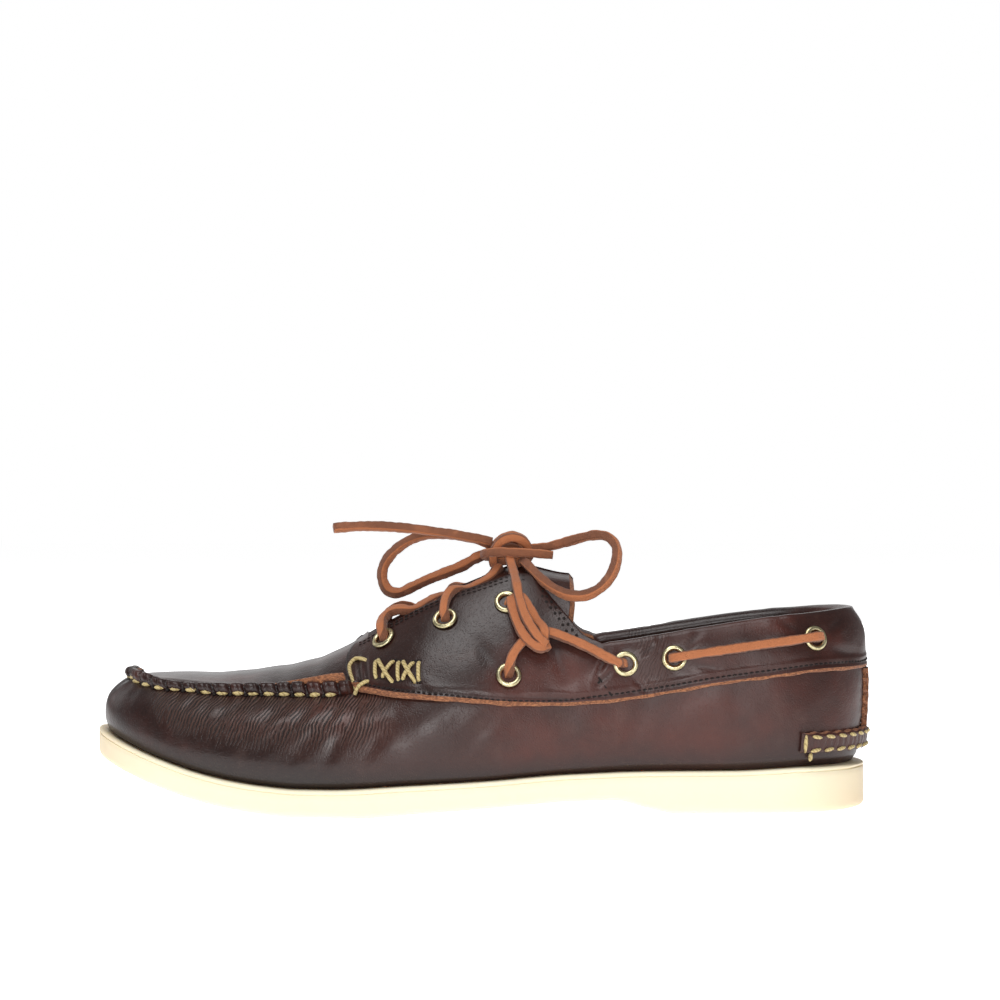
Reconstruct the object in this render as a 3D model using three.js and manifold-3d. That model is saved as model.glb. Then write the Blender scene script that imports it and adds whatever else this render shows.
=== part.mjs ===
// Boat shoe for the left foot, in millimetres.
// The toe points to -X, the outer side faces -Y and +Z is up. The floor is z = 0.
import * as THREE from 'three';
import { mergeVertices } from 'three/addons/utils/BufferGeometryUtils.js';
import Module from 'manifold-3d';

const wasm = await Module();
wasm.setup();

// Sizes of the sole
const soleLength = 292;
const ballWidth = 103;
const toeRound = 62;
const heelRound = 40;
const toeSpring = 19.4;
const soleThickness = 9.9;
const heelRise = 6.9;
const archGap = 5.2;
const edgeRound = 1.3;
const rimHeight = 1.5;
const rimStep = 0.4;

// Sizes of the upper, heights from the floor
const instepHeight = 94;
const collarHeight = 74.8;
const upperWall = 2.4;
const seamRidge = 3.6;

// Sizes of what is put on or into the upper
const insoleThickness = 3;
const tongueThickness = 2.2;
const overlay = 1.7;
const rollHeight = 4;
const rollThickness = 6;
const strapWidth = 7;
const strapHeight = 22.8;
const strapThickness = 3;
const stripWidth = 13;
const gap = 0.3;

// Eyelets and lace
const eyeletFlange = 9.2;
const eyeletBore = 5;
const eyeletMetal = 0.45;
const eyeletRim = 0.9;
const laceWidth = 3.1;

// How far the back of the upper and its strap stand out behind the sole
const backOverhang = 2.8;

// How the round shapes are divided
const pointsAround = 56;
const stepsPerSegment = [1, 2, 3, 2, 2, 1];

// The sole seen from above. at is the share of the length from the toe, and middle and half are the place
// of the centre line, towards the inner side, and the half width, as shares of the ball width.
const outlineRows = [
  { at: 0.0, middle: 0.075, half: 0.395 },
  { at: 0.1, middle: 0.065, half: 0.415 },
  { at: 0.2, middle: 0.045, half: 0.46 },
  { at: 0.3, middle: 0.015, half: 0.495 },
  { at: 0.38, middle: -0.01, half: 0.497 },
  { at: 0.5, middle: -0.035, half: 0.435 },
  { at: 0.62, middle: -0.03, half: 0.372 },
  { at: 0.72, middle: -0.012, half: 0.345 },
  { at: 0.85, middle: 0.0, half: 0.338 },
  { at: 1.0, middle: 0.0, half: 0.325 },
];

// The sole seen from the side. spring is a share of the toe spring, rise of the heel's rise.
const soleRows = [
  { at: 0.0, spring: 1.0, rise: 0.0 },
  { at: 0.02, spring: 0.88, rise: 0.0 },
  { at: 0.05, spring: 0.7, rise: 0.0 },
  { at: 0.09, spring: 0.485, rise: 0.0 },
  { at: 0.14, spring: 0.265, rise: 0.0 },
  { at: 0.19, spring: 0.115, rise: 0.0 },
  { at: 0.23, spring: 0.04, rise: 0.0 },
  { at: 0.27, spring: 0.0, rise: 0.0 },
  { at: 0.31, spring: 0.0, rise: 0.0 },
  { at: 0.41, spring: 0.0, rise: 0.24 },
  { at: 0.51, spring: 0.0, rise: 0.43 },
  { at: 0.61, spring: 0.0, rise: 0.7 },
  { at: 0.71, spring: 0.0, rise: 0.8 },
  { at: 0.82, spring: 0.0, rise: 0.81 },
  { at: 0.92, spring: 0.0, rise: 0.98 },
  { at: 1.0, spring: 0.0, rise: 1.0 },
];

// The hollow under the arch, seen from the side. up is a share of the arch gap.
const archRows = [
  { at: 0.36, up: 0.0 },
  { at: 0.42, up: 0.3 },
  { at: 0.49, up: 0.54 },
  { at: 0.56, up: 0.8 },
  { at: 0.62, up: 0.98 },
  { at: 0.67, up: 1.0 },
  { at: 0.71, up: 0.45 },
  { at: 0.742, up: 0.0 },
];

// Sections of the last, one row each. foot, bulge, bend and shoulder are how far the wall stands in
// from the sole's edge at its foot, its fullest place, its upper bend and its shoulder, as shares of the
// ball width. high and crown are the heights of the shoulder and the top as shares of the instep height,
// and full says how square the top is.
const sectionRows = [
  { at: 0.0, foot: 0.039, bulge: 0.023, bend: 0.041, shoulder: 0.112, high: 0.504, crown: 0.511, full: 2.0 },
  { at: 0.05, foot: 0.034, bulge: 0.021, bend: 0.047, shoulder: 0.131, high: 0.502, crown: 0.511, full: 2.0 },
  { at: 0.1, foot: 0.031, bulge: 0.017, bend: 0.05, shoulder: 0.15, high: 0.491, crown: 0.514, full: 2.0 },
  { at: 0.19, foot: 0.029, bulge: 0.012, bend: 0.053, shoulder: 0.168, high: 0.466, crown: 0.534, full: 2.0 },
  { at: 0.26, foot: 0.029, bulge: 0.01, bend: 0.053, shoulder: 0.17, high: 0.463, crown: 0.564, full: 2.0 },
  { at: 0.33, foot: 0.029, bulge: 0.01, bend: 0.051, shoulder: 0.16, high: 0.471, crown: 0.643, full: 2.1 },
  { at: 0.38, foot: 0.029, bulge: 0.01, bend: 0.042, shoulder: 0.115, high: 0.468, crown: 0.755, full: 2.2 },
  { at: 0.44, foot: 0.028, bulge: 0.01, bend: 0.018, shoulder: 0.05, high: 0.463, crown: 0.862, full: 2.2 },
  { at: 0.5, foot: 0.026, bulge: 0.009, bend: 0.009, shoulder: 0.025, high: 0.463, crown: 0.95, full: 2.2 },
  { at: 0.55, foot: 0.025, bulge: 0.007, bend: 0.006, shoulder: 0.019, high: 0.473, crown: 1.0, full: 2.2 },
  { at: 0.61, foot: 0.023, bulge: 0.003, bend: 0.003, shoulder: 0.018, high: 0.532, crown: 0.965, full: 2.2 },
  { at: 0.7, foot: 0.021, bulge: -0.006, bend: 0.0, shoulder: 0.023, high: 0.67, crown: 0.95, full: 2.3 },
  { at: 0.8, foot: 0.019, bulge: -0.012, bend: -0.006, shoulder: 0.029, high: 0.718, crown: 0.97, full: 2.4 },
  { at: 0.88, foot: 0.021, bulge: -0.014, bend: 0.0, shoulder: 0.041, high: 0.745, crown: 0.98, full: 2.4 },
  { at: 1.0, foot: 0.029, bulge: 0.008, bend: 0.008, shoulder: 0.05, high: 0.76, crown: 0.98, full: 2.4 },
];

// Where the last's fullest place and upper bend lie between the sole and the shoulder
const bulgeShare = 0.3;
const bendShare = 0.72;

// The places of a section's points on the way from the shoulder to the top
const topShares = [0.3, 0.65, 1];

// Where the sections close over the top: the ends of the spine, as shares of the length
const spineFront = 0.15;
const spineBack = 0.87;

// The rear edge of the eyestay, as shares of the instep height
const eyestayRear = [
  { at: 0.54, up: 1.2 },
  { at: 0.552, up: 0.96 },
  { at: 0.563, up: 0.931 },
  { at: 0.603, up: 0.791 },
  { at: 0.639, up: 0.671 },
];

// The throat seen from above, open at the back. half is its half width as a share of the ball width.
const throatRows = [
  { at: 0.343, half: 0.09 },
  { at: 0.352, half: 0.14 },
  { at: 0.38, half: 0.165 },
  { at: 0.43, half: 0.175 },
  { at: 0.5, half: 0.175 },
  { at: 0.56, half: 0.16 },
  { at: 0.66, half: 0.16 },
];

// The top of the collar, as shares of the collar height
const collarEdge = [
  { at: 0.639, up: 0.84 },
  { at: 0.692, up: 0.861 },
  { at: 0.77, up: 0.909 },
  { at: 0.867, up: 0.964 },
  { at: 0.942, up: 0.992 },
  { at: 0.972, up: 1.0 },
  { at: 1.03, up: 1.0 },
];

// The front and the lower edge of the saddle band, as shares of the collar height
const bandLower = [
  { at: 0.337, up: 0.84 },
  { at: 0.332, up: 0.74 },
  { at: 0.337, up: 0.655 },
  { at: 0.353, up: 0.598 },
  { at: 0.4, up: 0.575 },
  { at: 0.466, up: 0.561 },
  { at: 0.547, up: 0.54 },
  { at: 0.601, up: 0.537 },
  { at: 0.655, up: 0.547 },
  { at: 0.737, up: 0.587 },
  { at: 0.793, up: 0.624 },
  { at: 0.875, up: 0.664 },
  { at: 0.933, up: 0.69 },
  { at: 1.03, up: 0.6965 },
];

// The tongue seen from above
const tongueRows = [
  { at: 0.3, half: 0.1 },
  { at: 0.32, half: 0.15 },
  { at: 0.4, half: 0.2 },
  { at: 0.5, half: 0.26 },
  { at: 0.59, half: 0.3 },
  { at: 0.612, half: 0.27 },
  { at: 0.617, half: 0.12 },
];

// The front end of the heel strap
const strapFront = 0.905;

// Places on the eyestay and on the collar band: the share of the length, and the height as a share of the
// instep height or of the collar height
const onEyestay = (at, up) => ({ at, height: up * instepHeight });
const onBand = (at, up) => ({ at, height: up * collarHeight });

const eyelets = {
  front: onEyestay(0.381, 0.667),
  middle: onEyestay(0.458, 0.748),
  rear: onEyestay(0.535, 0.815),
  low: onEyestay(0.536, 0.541),
  side_1: onBand(0.683, 0.7377),
  side_2: onBand(0.745, 0.7647),
  side_3: onBand(0.923, 0.8533),
};

// A smooth curve through one column of a table that never overshoots its rows
function along(rows, column) {
  const count = rows.length;
  const step = [];
  for (let i = 0; i < count - 1; i += 1) {
    step.push((rows[i + 1][column] - rows[i][column]) / (rows[i + 1].at - rows[i].at));
  }
  const slope = rows.map((row, i) => {
    if (i === 0) return step[0];
    if (i === count - 1) return step[count - 2];
    if (step[i - 1] * step[i] <= 0) return 0;
    return (2 * step[i - 1] * step[i]) / (step[i - 1] + step[i]);
  });
  return (at) => {
    if (at <= rows[0].at) return rows[0][column];
    if (at >= rows[count - 1].at) return rows[count - 1][column];
    let i = 0;
    while (at > rows[i + 1].at) i += 1;
    const width = rows[i + 1].at - rows[i].at;
    const t = (at - rows[i].at) / width;
    const rest = 1 - t;
    return (1 + 2 * t) * rest * rest * rows[i][column] + t * rest * rest * width * slope[i]
      + t * t * (3 - 2 * t) * rows[i + 1][column] - t * t * rest * width * slope[i + 1];
  };
}

const middleAt = along(outlineRows, 'middle');
const halfAt = along(outlineRows, 'half');
const springAt = along(soleRows, 'spring');
const riseAt = along(soleRows, 'rise');

// Places along the shoe: X of a share of the length, and back
const xOf = (at) => (at - 0.5) * soleLength - backOverhang / 2;
const atOf = (x) => (x + backOverhang / 2) / soleLength + 0.5;

// Heights of the sole's underside, arch left out, and of its top
const undersideAt = (at) => springAt(at) * toeSpring;
const soleTopAt = (at) => springAt(at) * toeSpring + soleThickness + riseAt(at) * heelRise;

// The rounded end of an outline: how much of the width is left at a distance from the tip
const toePower = 2.3;
const heelPower = 2.1;
function roundEnd(distance, length, power) {
  if (distance >= length) return 1;
  return (1 - (1 - distance / length) ** power) ** (1 / power);
}

// A point of the sole's edge. turn goes from 0 at the toe over the outer side to 0.5 at the heel and
// over the inner side back to 1.
function edgePoint(turn) {
  const at = (1 - Math.cos(2 * Math.PI * turn)) / 2;
  const side = turn % 1 < 0.5 ? -1 : 1;
  const toe = roundEnd(at * soleLength, toeRound, toePower);
  const heel = roundEnd((1 - at) * soleLength, heelRound, heelPower);
  const half = halfAt(at) * ballWidth * toe * heel;
  return new THREE.Vector2(xOf(at), middleAt(at) * ballWidth + side * half);
}

// The direction into the shoe at a point of the sole's edge
function inward(turn) {
  const step = 0.0005;
  const tangent = edgePoint(turn + step).sub(edgePoint(turn - step + 1)).normalize();
  return new THREE.Vector2(-tangent.y, tangent.x);
}

// A ring round the shoe at a distance in from the sole's edge, which may be a function of the turn,
// with its height from a function of the place along the shoe
function ring(inset, heightAt) {
  const points = [];
  for (let i = 0; i < pointsAround; i += 1) {
    const turn = i / pointsAround;
    const distance = typeof inset === 'function' ? inset(turn) : inset;
    const place = edgePoint(turn).addScaledVector(inward(turn), distance);
    points.push(new THREE.Vector3(place.x, place.y, heightAt(atOf(place.x))));
  }
  return points;
}

// A closed mesh through rings, from the lowest to the highest. The lowest is closed by strips from side
// to side, and so is the highest unless its two sides already meet.
function ringsToGeometry(rings) {
  const count = rings[0].length;
  const positions = rings.flat().flatMap((point) => point.toArray());
  const triangles = [];
  for (let j = 0; j < rings.length - 1; j += 1) {
    for (let i = 0; i < count; i += 1) {
      const next = (i + 1) % count;
      const low = j * count;
      const high = low + count;
      triangles.push([low + i, low + next, high + next], [low + i, high + next, high + i]);
    }
  }
  const top = (rings.length - 1) * count;
  for (let i = 0; i < count / 2; i += 1) {
    const opposite = (count - i) % count;
    const nextOpposite = count - i - 1;
    triangles.push([nextOpposite, i + 1, i], [opposite, nextOpposite, i]);
    triangles.push([top + i, top + i + 1, top + nextOpposite]);
    triangles.push([top + i, top + nextOpposite, top + opposite]);
  }
  return closedGeometry(positions, triangles);
}

// Shared corners are merged and the triangles that they flatten, or that face each other, are left out
function closedGeometry(positions, triangles) {
  const loose = new THREE.BufferGeometry();
  loose.setAttribute('position', new THREE.Float32BufferAttribute(positions, 3));
  loose.setIndex(triangles.flat());
  const merged = mergeVertices(loose, 0.001);
  const index = merged.getIndex().array;
  const kept = new Map();
  for (let i = 0; i < index.length; i += 3) {
    const [a, b, c] = [index[i], index[i + 1], index[i + 2]];
    if (a === b || b === c || c === a) continue;
    const key = [a, b, c].sort((p, q) => p - q).join();
    if (kept.has(key)) kept.delete(key);
    else kept.set(key, [a, b, c]);
  }
  merged.setIndex([...kept.values()].flat());
  return merged;
}

// Between three.js geometry and solids that can be joined and cut
function toSolid(geometry) {
  const bare = geometry.clone();
  bare.deleteAttribute('normal');
  bare.deleteAttribute('uv');
  const merged = mergeVertices(bare, 0.001);
  return new wasm.Manifold(new wasm.Mesh({
    numProp: 3,
    vertProperties: new Float32Array(merged.getAttribute('position').array),
    triVerts: new Uint32Array(merged.getIndex().array),
  }));
}

function toGeometry(solid) {
  const mesh = solid.getMesh();
  const geometry = new THREE.BufferGeometry();
  geometry.setAttribute('position', new THREE.BufferAttribute(mesh.vertProperties, 3));
  geometry.setIndex(new THREE.BufferAttribute(mesh.triVerts, 1));
  return geometry;
}

// A block with the outline given by [x, z] points, as wide as the whole shoe
const blockWidth = 2 * ballWidth;
function sideBlock(points) {
  const shape = new THREE.Shape(points.map(([x, z]) => new THREE.Vector2(x, z)));
  const geometry = new THREE.ExtrudeGeometry(shape, { depth: blockWidth, bevelEnabled: false });
  geometry.rotateX(Math.PI / 2);
  geometry.translate(0, blockWidth / 2, 0);
  return toSolid(geometry);
}

// Points along a height function, for the outline of such a block
function profile(heightAt, from, to, steps) {
  const points = [];
  for (let i = 0; i <= steps; i += 1) {
    const at = from + ((to - from) * i) / steps;
    points.push([xOf(at), heightAt(at)]);
  }
  return points;
}

// The sole's edge: its rounded foot in shares of the rounding, and its rim in shares of the rim's step and
// height. deep is how far in it stands, up and down are measured from the underside and the top.
const footRows = [
  { deep: 1, up: 0 },
  { deep: 0.3, up: 0.6 },
  { deep: 0, up: 2 },
];
const rimRows = [
  { deep: 0, down: 1 },
  { deep: 1, down: 1 },
  { deep: 1, down: 0.4 },
  { deep: 3, down: 0 },
];

// Outsole: an edge with a rounded foot and a fine rim, cut away under the arch
const archSteps = 24;
function outsole() {
  const rings = [
    ...footRows.map(({ deep, up }) => ring(deep * edgeRound, (at) => undersideAt(at) + up * edgeRound)),
    ...rimRows.map(({ deep, down }) => ring(deep * rimStep, (at) => soleTopAt(at) - down * rimHeight)),
  ];
  const archAt = along(archRows, 'up');
  const [first, last] = [archRows[0].at, archRows[archRows.length - 1].at];
  const arch = profile((at) => archAt(at) * archGap, first, last, archSteps);
  const below = -soleThickness;
  const hollow = sideBlock([[xOf(first), below], [xOf(last), below], ...arch.reverse()]);
  return toSolid(ringsToGeometry(rings)).subtract(hollow);
}

// The last: for each place round the shoe a smooth curve from the sole up to the crown
const section = Object.fromEntries(
  Object.keys(sectionRows[0]).map((column) => [column, along(sectionRows, column)]),
);
const skirt = 1.5 * soleThickness;

function sectionCurve(turn) {
  const edge = edgePoint(turn);
  const at = atOf(edge.x);
  const into = inward(turn);
  const foot = edge.clone().addScaledVector(into, section.foot(at) * ballWidth);
  const low = soleTopAt(atOf(foot.x));
  const high = section.high(at) * instepHeight;
  const wall = { foot: 0, bulge: bulgeShare, bend: bendShare, shoulder: 1 };
  const points = Object.entries(wall).map(([column, share]) => {
    const place = edge.clone().addScaledVector(into, section[column](at) * ballWidth);
    return new THREE.Vector3(place.x, place.y, low + (high - low) * share);
  });
  const spineAt = Math.min(Math.max(at, spineFront), spineBack);
  const shoulder = points[3];
  const crownHeight = section.crown(spineAt) * instepHeight;
  const crown = new THREE.Vector3(xOf(spineAt), middleAt(spineAt) * ballWidth, crownHeight);
  for (const share of topShares) {
    const point = shoulder.clone().lerp(crown, share);
    point.z = shoulder.z + (crown.z - shoulder.z) * (1 - (1 - share) ** section.full(at));
    points.push(point);
  }
  return new THREE.CatmullRomCurve3(points, false, 'centripetal');
}

// Parameters of the rings on those curves
const segmentCount = stepsPerSegment.length;
const levels = [0];
stepsPerSegment.forEach((steps, segment) => {
  for (let i = 1; i <= steps; i += 1) levels.push((segment + i / steps) / segmentCount);
});

// The last as a mesh with a skirt below the feather edge. raise lifts its points, for the raised seam.
function lastGeometry(raise = () => 0) {
  const curves = [];
  for (let i = 0; i < pointsAround; i += 1) curves.push(sectionCurve(i / pointsAround));
  const rings = levels.map((level) => curves.map((curve) => {
    const point = curve.getPoint(level);
    point.z += raise(atOf(point.x), level);
    return point;
  }));
  const low = rings[0].map((point) => new THREE.Vector3(point.x, point.y, point.z - skirt));
  return ringsToGeometry([low, ...rings]);
}

// The last grown or shrunk by a distance along its own normals
function lastSolid(distance, raise) {
  const geometry = lastGeometry(raise);
  geometry.computeVertexNormals();
  const position = geometry.getAttribute('position');
  const normal = geometry.getAttribute('normal');
  for (let i = 0; i < position.count; i += 1) {
    position.setXYZ(
      i,
      position.getX(i) + normal.getX(i) * distance,
      position.getY(i) + normal.getY(i) * distance,
      position.getZ(i) + normal.getZ(i) * distance,
    );
  }
  return toSolid(geometry);
}

// What lies below the upper: everything under the sole's top and the gap
const floorSteps = 36;
const tall = 2 * instepHeight;
function underSole(clearance) {
  const top = profile((at) => soleTopAt(at) + clearance, -0.05, 1.05, floorSteps);
  return sideBlock([[xOf(-0.05), -tall], [xOf(1.05), -tall], ...top.reverse()]);
}

// A block with the outline given by rows of half widths, seen from above, from a height upwards
function planBlock(rows, from) {
  const side = (sign) => rows.map(({ at, half }) => (
    new THREE.Vector2(xOf(at), middleAt(at) * ballWidth + sign * half * ballWidth)
  ));
  const shape = new THREE.Shape([...side(-1), ...side(1).reverse()]);
  const geometry = new THREE.ExtrudeGeometry(shape, { depth: tall - from, bevelEnabled: false });
  geometry.translate(0, 0, from);
  return toSolid(geometry);
}

// What lies above the shoe's top edge: over the throat, behind the eyestays and above the collar
function aboveEdge(collarDrop) {
  const rear = eyestayRear.map(({ at, up }) => [xOf(at), up * instepHeight]);
  const collar = collarEdge.map(({ at, up }) => [xOf(at), up * collarHeight - collarDrop]);
  const [front] = rear[0];
  const back = xOf(collarEdge[collarEdge.length - 1].at);
  const block = sideBlock([[front, tall], ...rear, ...collar, [back, tall]]);
  return block.add(planBlock(throatRows, instepHeight / 2));
}
const openTop = aboveEdge(rollHeight + gap);

// The last with its skirt, shrunk to the inside of the upper's wall
const inside = lastSolid(-upperWall);

// Where a section curve reaches a height, which may depend on the place, found by halving
const halvings = 24;
function levelAt(curve, heightAt) {
  let [low, high] = [0, 1];
  for (let i = 0; i < halvings; i += 1) {
    const level = (low + high) / 2;
    const point = curve.getPoint(level);
    if (point.z < heightAt(atOf(point.x))) low = level;
    else high = level;
  }
  return low;
}

// The point of the last on one side, at a share of the length and a height, with its outward normal.
// side is -1 for the outer side and 1 for the inner side.
const searchRounds = 6;
const nearby = 0.002;
function onLast(side, at, height, off) {
  const curveAt = (share) => sectionCurve(side < 0 ? share : 1 - share);
  let share = Math.acos(1 - 2 * at) / (2 * Math.PI);
  let level = 0;
  for (let round = 0; round < searchRounds; round += 1) {
    const curve = curveAt(share);
    level = levelAt(curve, () => height);
    const miss = xOf(at) - curve.getPoint(level).x;
    share += miss / (Math.PI * soleLength * Math.sin(2 * Math.PI * share));
    share = Math.min(Math.max(share, 5 * nearby), 0.5 - nearby);
  }
  const curve = curveAt(share);
  const forward = curveAt(share + nearby).getPoint(level).sub(curveAt(share - nearby).getPoint(level));
  const upward = curve.getPoint(Math.min(level + nearby, 1)).sub(curve.getPoint(Math.max(level - nearby, 0)));
  const normal = forward.cross(upward).normalize().multiplyScalar(-side);
  return { point: curve.getPoint(level).addScaledVector(normal, off), normal };
}

// Eyelets of both sides, each with its place on the last
const eyeletPlaces = [];
for (const [side, word] of [[-1, 'outer'], [1, 'inner']]) {
  for (const [name, { at, height }] of Object.entries(eyelets)) {
    eyeletPlaces.push({ name: `eyelet_${name}_${word}`, ...onLast(side, at, height, 0) });
  }
}

// Something turned about Z is set on the last with Z along the outward normal
function setOnLast(geometry, place) {
  const turn = new THREE.Quaternion().setFromUnitVectors(new THREE.Vector3(0, 0, 1), place.normal);
  return geometry.applyQuaternion(turn).translate(...place.point.toArray());
}

const eyeletSides = 8;
const holes = eyeletPlaces.map((place) => {
  const radius = eyeletBore / 2 + eyeletMetal + gap;
  const depth = 4 * (upperWall + overlay);
  const hole = new THREE.CylinderGeometry(radius, radius, depth, eyeletSides);
  return toSolid(setOnLast(hole.rotateX(Math.PI / 2), place));
});

function eyelet(place) {
  const inner = eyeletBore / 2;
  const outer = inner + eyeletMetal;
  const bottom = -upperWall - gap;
  const under = overlay + 2 * gap;
  const flange = eyeletFlange / 2;
  const profilePoints = [
    [inner, bottom], [outer, bottom], [outer, under], [flange, under],
    [flange - eyeletRim / 2, under + 0.7 * eyeletRim], [inner, under + eyeletRim], [inner, bottom],
  ];
  const outline = profilePoints.map(([x, y]) => new THREE.Vector2(x, y));
  const lathe = new THREE.LatheGeometry(outline, eyeletSides).rotateX(Math.PI / 2);
  return toSolid(setOnLast(lathe, place));
}

// A solid with the holes for all eyelets
function drilled(solid) {
  return holes.reduce((rest, hole) => rest.subtract(hole), solid);
}

// The raised seam: how far the last's surface stands up along the shoulder, fading out at the band
const seamRows = [
  { level: 0.4, up: 0 },
  { level: 0.45, up: 0.15 },
  { level: 0.5, up: 1 },
  { level: 0.55, up: 0.35 },
  { level: 0.6, up: 0 },
];
const seamEnd = { from: 0.285, to: 0.322 };

function seamUp(at, level) {
  const fade = 1 - THREE.MathUtils.smoothstep(at, seamEnd.from, seamEnd.to);
  const after = seamRows.findIndex((row) => row.level > level);
  if (after <= 0 || fade === 0) return 0;
  const [before, next] = [seamRows[after - 1], seamRows[after]];
  const share = (level - before.level) / (next.level - before.level);
  return seamRidge * fade * (before.up + (next.up - before.up) * share);
}

function upper() {
  const wall = lastSolid(0, seamUp).subtract(inside);
  return drilled(wall.subtract(underSole(gap)).subtract(openTop));
}

function insole() {
  const margin = upperWall + 2 * gap;
  const inset = (turn) => section.foot(atOf(edgePoint(turn).x)) * ballWidth + margin;
  const bottom = ring(inset, (at) => soleTopAt(at) + gap);
  const top = ring(inset, (at) => soleTopAt(at) + gap + insoleThickness);
  return toSolid(ringsToGeometry([bottom, top]));
}

function tongue() {
  const outside = lastSolid(-upperWall - gap);
  const shell = outside.subtract(lastSolid(-upperWall - gap - tongueThickness));
  return shell.intersect(planBlock(tongueRows, instepHeight / 2));
}

// A layer on the upper between two grown forms of the last
const layer = lastSolid(gap + overlay).subtract(lastSolid(gap));

function saddleBand() {
  const lower = bandLower.map(({ at, up }) => [xOf(at), up * collarHeight]);
  const region = sideBlock([...lower, [lower[lower.length - 1][0], tall], [lower[0][0], tall]]);
  return drilled(layer.intersect(region).subtract(openTop));
}

function heelStrap() {
  const front = xOf(strapFront);
  const back = xOf(1.05);
  const [low, high] = [strapHeight, strapHeight + strapWidth];
  const thick = lastSolid(gap + strapThickness).subtract(lastSolid(gap));
  return thick.intersect(sideBlock([[front, low], [back, low], [back, high], [front, high]]));
}

function backStrip() {
  const low = strapHeight + strapWidth + gap;
  const high = bandLower[bandLower.length - 1].up * collarHeight - gap;
  const box = new THREE.BoxGeometry(soleLength / 10, stripWidth, high - low);
  box.translate(xOf(1), 0, (high + low) / 2);
  return layer.intersect(toSolid(box));
}

// A closed mesh through rings of a few sides, with flat ends
function sweepGeometry(rings) {
  const count = rings[0].length;
  const positions = rings.flat().flatMap((point) => point.toArray());
  const triangles = [];
  for (let j = 0; j < rings.length - 1; j += 1) {
    for (let i = 0; i < count; i += 1) {
      const next = (i + 1) % count;
      const [a, b] = [j * count, (j + 1) * count];
      triangles.push([a + next, a + i, b + i], [a + next, b + i, b + next]);
    }
  }
  const last = (rings.length - 1) * count;
  for (let i = 1; i < count - 1; i += 1) {
    triangles.push([0, i, i + 1], [last, last + i + 1, last + i]);
  }
  return closedGeometry(positions, triangles);
}

// The collar's roll: an oval swept round the collar's edge
const rollSteps = 17;
const rollSides = 8;
const rollFront = collarEdge[0].at + rollThickness / 2 / soleLength;
function collarRoll() {
  const collarAt = along(collarEdge, 'up');
  const first = Math.acos(1 - 2 * rollFront) / (2 * Math.PI);
  const rings = [];
  for (let i = 0; i <= 2 * rollSteps; i += 1) {
    const turn = first + ((1 - 2 * first) * i) / (2 * rollSteps);
    const curve = sectionCurve(turn);
    const level = levelAt(curve, (at) => collarAt(at) * collarHeight - rollHeight / 2);
    const centre = curve.getPoint(level);
    const into = inward(turn);
    const sides = [];
    for (let k = 0; k < rollSides; k += 1) {
      const angle = (2 * Math.PI * k) / rollSides;
      const out = Math.cos(angle) * (rollThickness / 2) + (upperWall - overlay) / 2;
      const up = Math.sin(angle) * (rollHeight / 2);
      sides.push(new THREE.Vector3(centre.x - into.x * out, centre.y - into.y * out, centre.z + up));
    }
    rings.push(sides);
  }
  return toSolid(sweepGeometry(rings));
}

// A lace or cord along a smooth line through points
const reachOf = (sides) => (laceWidth / 2) / Math.sqrt(Math.cos(Math.PI / sides));
function strand(points, steps, sides) {
  const path = new THREE.CatmullRomCurve3(points, false, 'centripetal');
  const radius = reachOf(sides);
  const circle = [];
  for (let i = 0; i < sides; i += 1) {
    const angle = (2 * Math.PI * (i + 0.5)) / sides;
    circle.push(new THREE.Vector2(Math.cos(angle) * radius, Math.sin(angle) * radius));
  }
  const geometry = new THREE.ExtrudeGeometry(new THREE.Shape(circle), { steps, extrudePath: path });
  return toSolid(geometry);
}

// Lace stretches that lie on the shoe are square, and follow the last at this distance to their middle
const barSides = 4;
const laceOff = overlay + 2 * gap + eyeletRim + gap + reachOf(barSides);
function laceOnShoe(side, rows, steps) {
  const points = rows.map(({ at, height }) => onLast(side, at, height, laceOff).point);
  return strand(points, steps, barSides);
}

// One bar from each front or middle eyelet over the eyestay's edge, down onto the tongue and across it.
// way is the share of the way to the middle, and lift the share of the full distance from the last.
const barRows = [
  { way: 0, lift: 1 },
  { way: 0.4, lift: 1 },
  { way: 0.75, lift: 0.8 },
];
const barSteps = 16;
const onTongue = laceWidth / 2 + gap - upperWall;
function laceBar({ at, height }, back) {
  const topAt = at + back;
  const crown = section.crown(topAt) * instepHeight;
  const path = (side) => barRows.map(({ way, lift }) => (
    onLast(side, at + back * way, height + (crown - height) * way, lift * laceOff).point
  ));
  const top = new THREE.Vector3(xOf(topAt), middleAt(topAt) * ballWidth, crown + onTongue);
  return strand([...path(-1), top, ...path(1).reverse()], barSteps, barSides);
}

// The side lace from the low eyelet to the first side eyelet, and the strand that comes down to it
const hitch = onEyestay(0.579, 0.624);
const acrossRows = [
  eyelets.low,
  onEyestay(0.55, 0.6),
  hitch,
  onEyestay(0.62, 0.63),
  onBand(0.655, 0.7628),
  eyelets.side_1,
];
const downRows = [
  onEyestay(0.541, 0.9),
  onEyestay(0.545, 0.8),
  onEyestay(0.552, 0.72),
  onEyestay(0.562, 0.655),
  hitch,
];
function laceTie(side) {
  const [acrossSteps, downSteps] = [14, 10];
  return laceOnShoe(side, acrossRows, acrossSteps).add(laceOnShoe(side, downRows, downSteps));
}

// The bar along the collar from the second to the third side eyelet
function laceSide(side) {
  const { side_2: from, side_3: to } = eyelets;
  const [parts, steps] = [5, 10];
  const rows = [];
  for (let i = 0; i <= parts; i += 1) {
    const share = i / parts;
    rows.push({
      at: from.at + (to.at - from.at) * share,
      height: from.height + (to.height - from.height) * share,
    });
  }
  return laceOnShoe(side, rows, steps);
}

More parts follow.
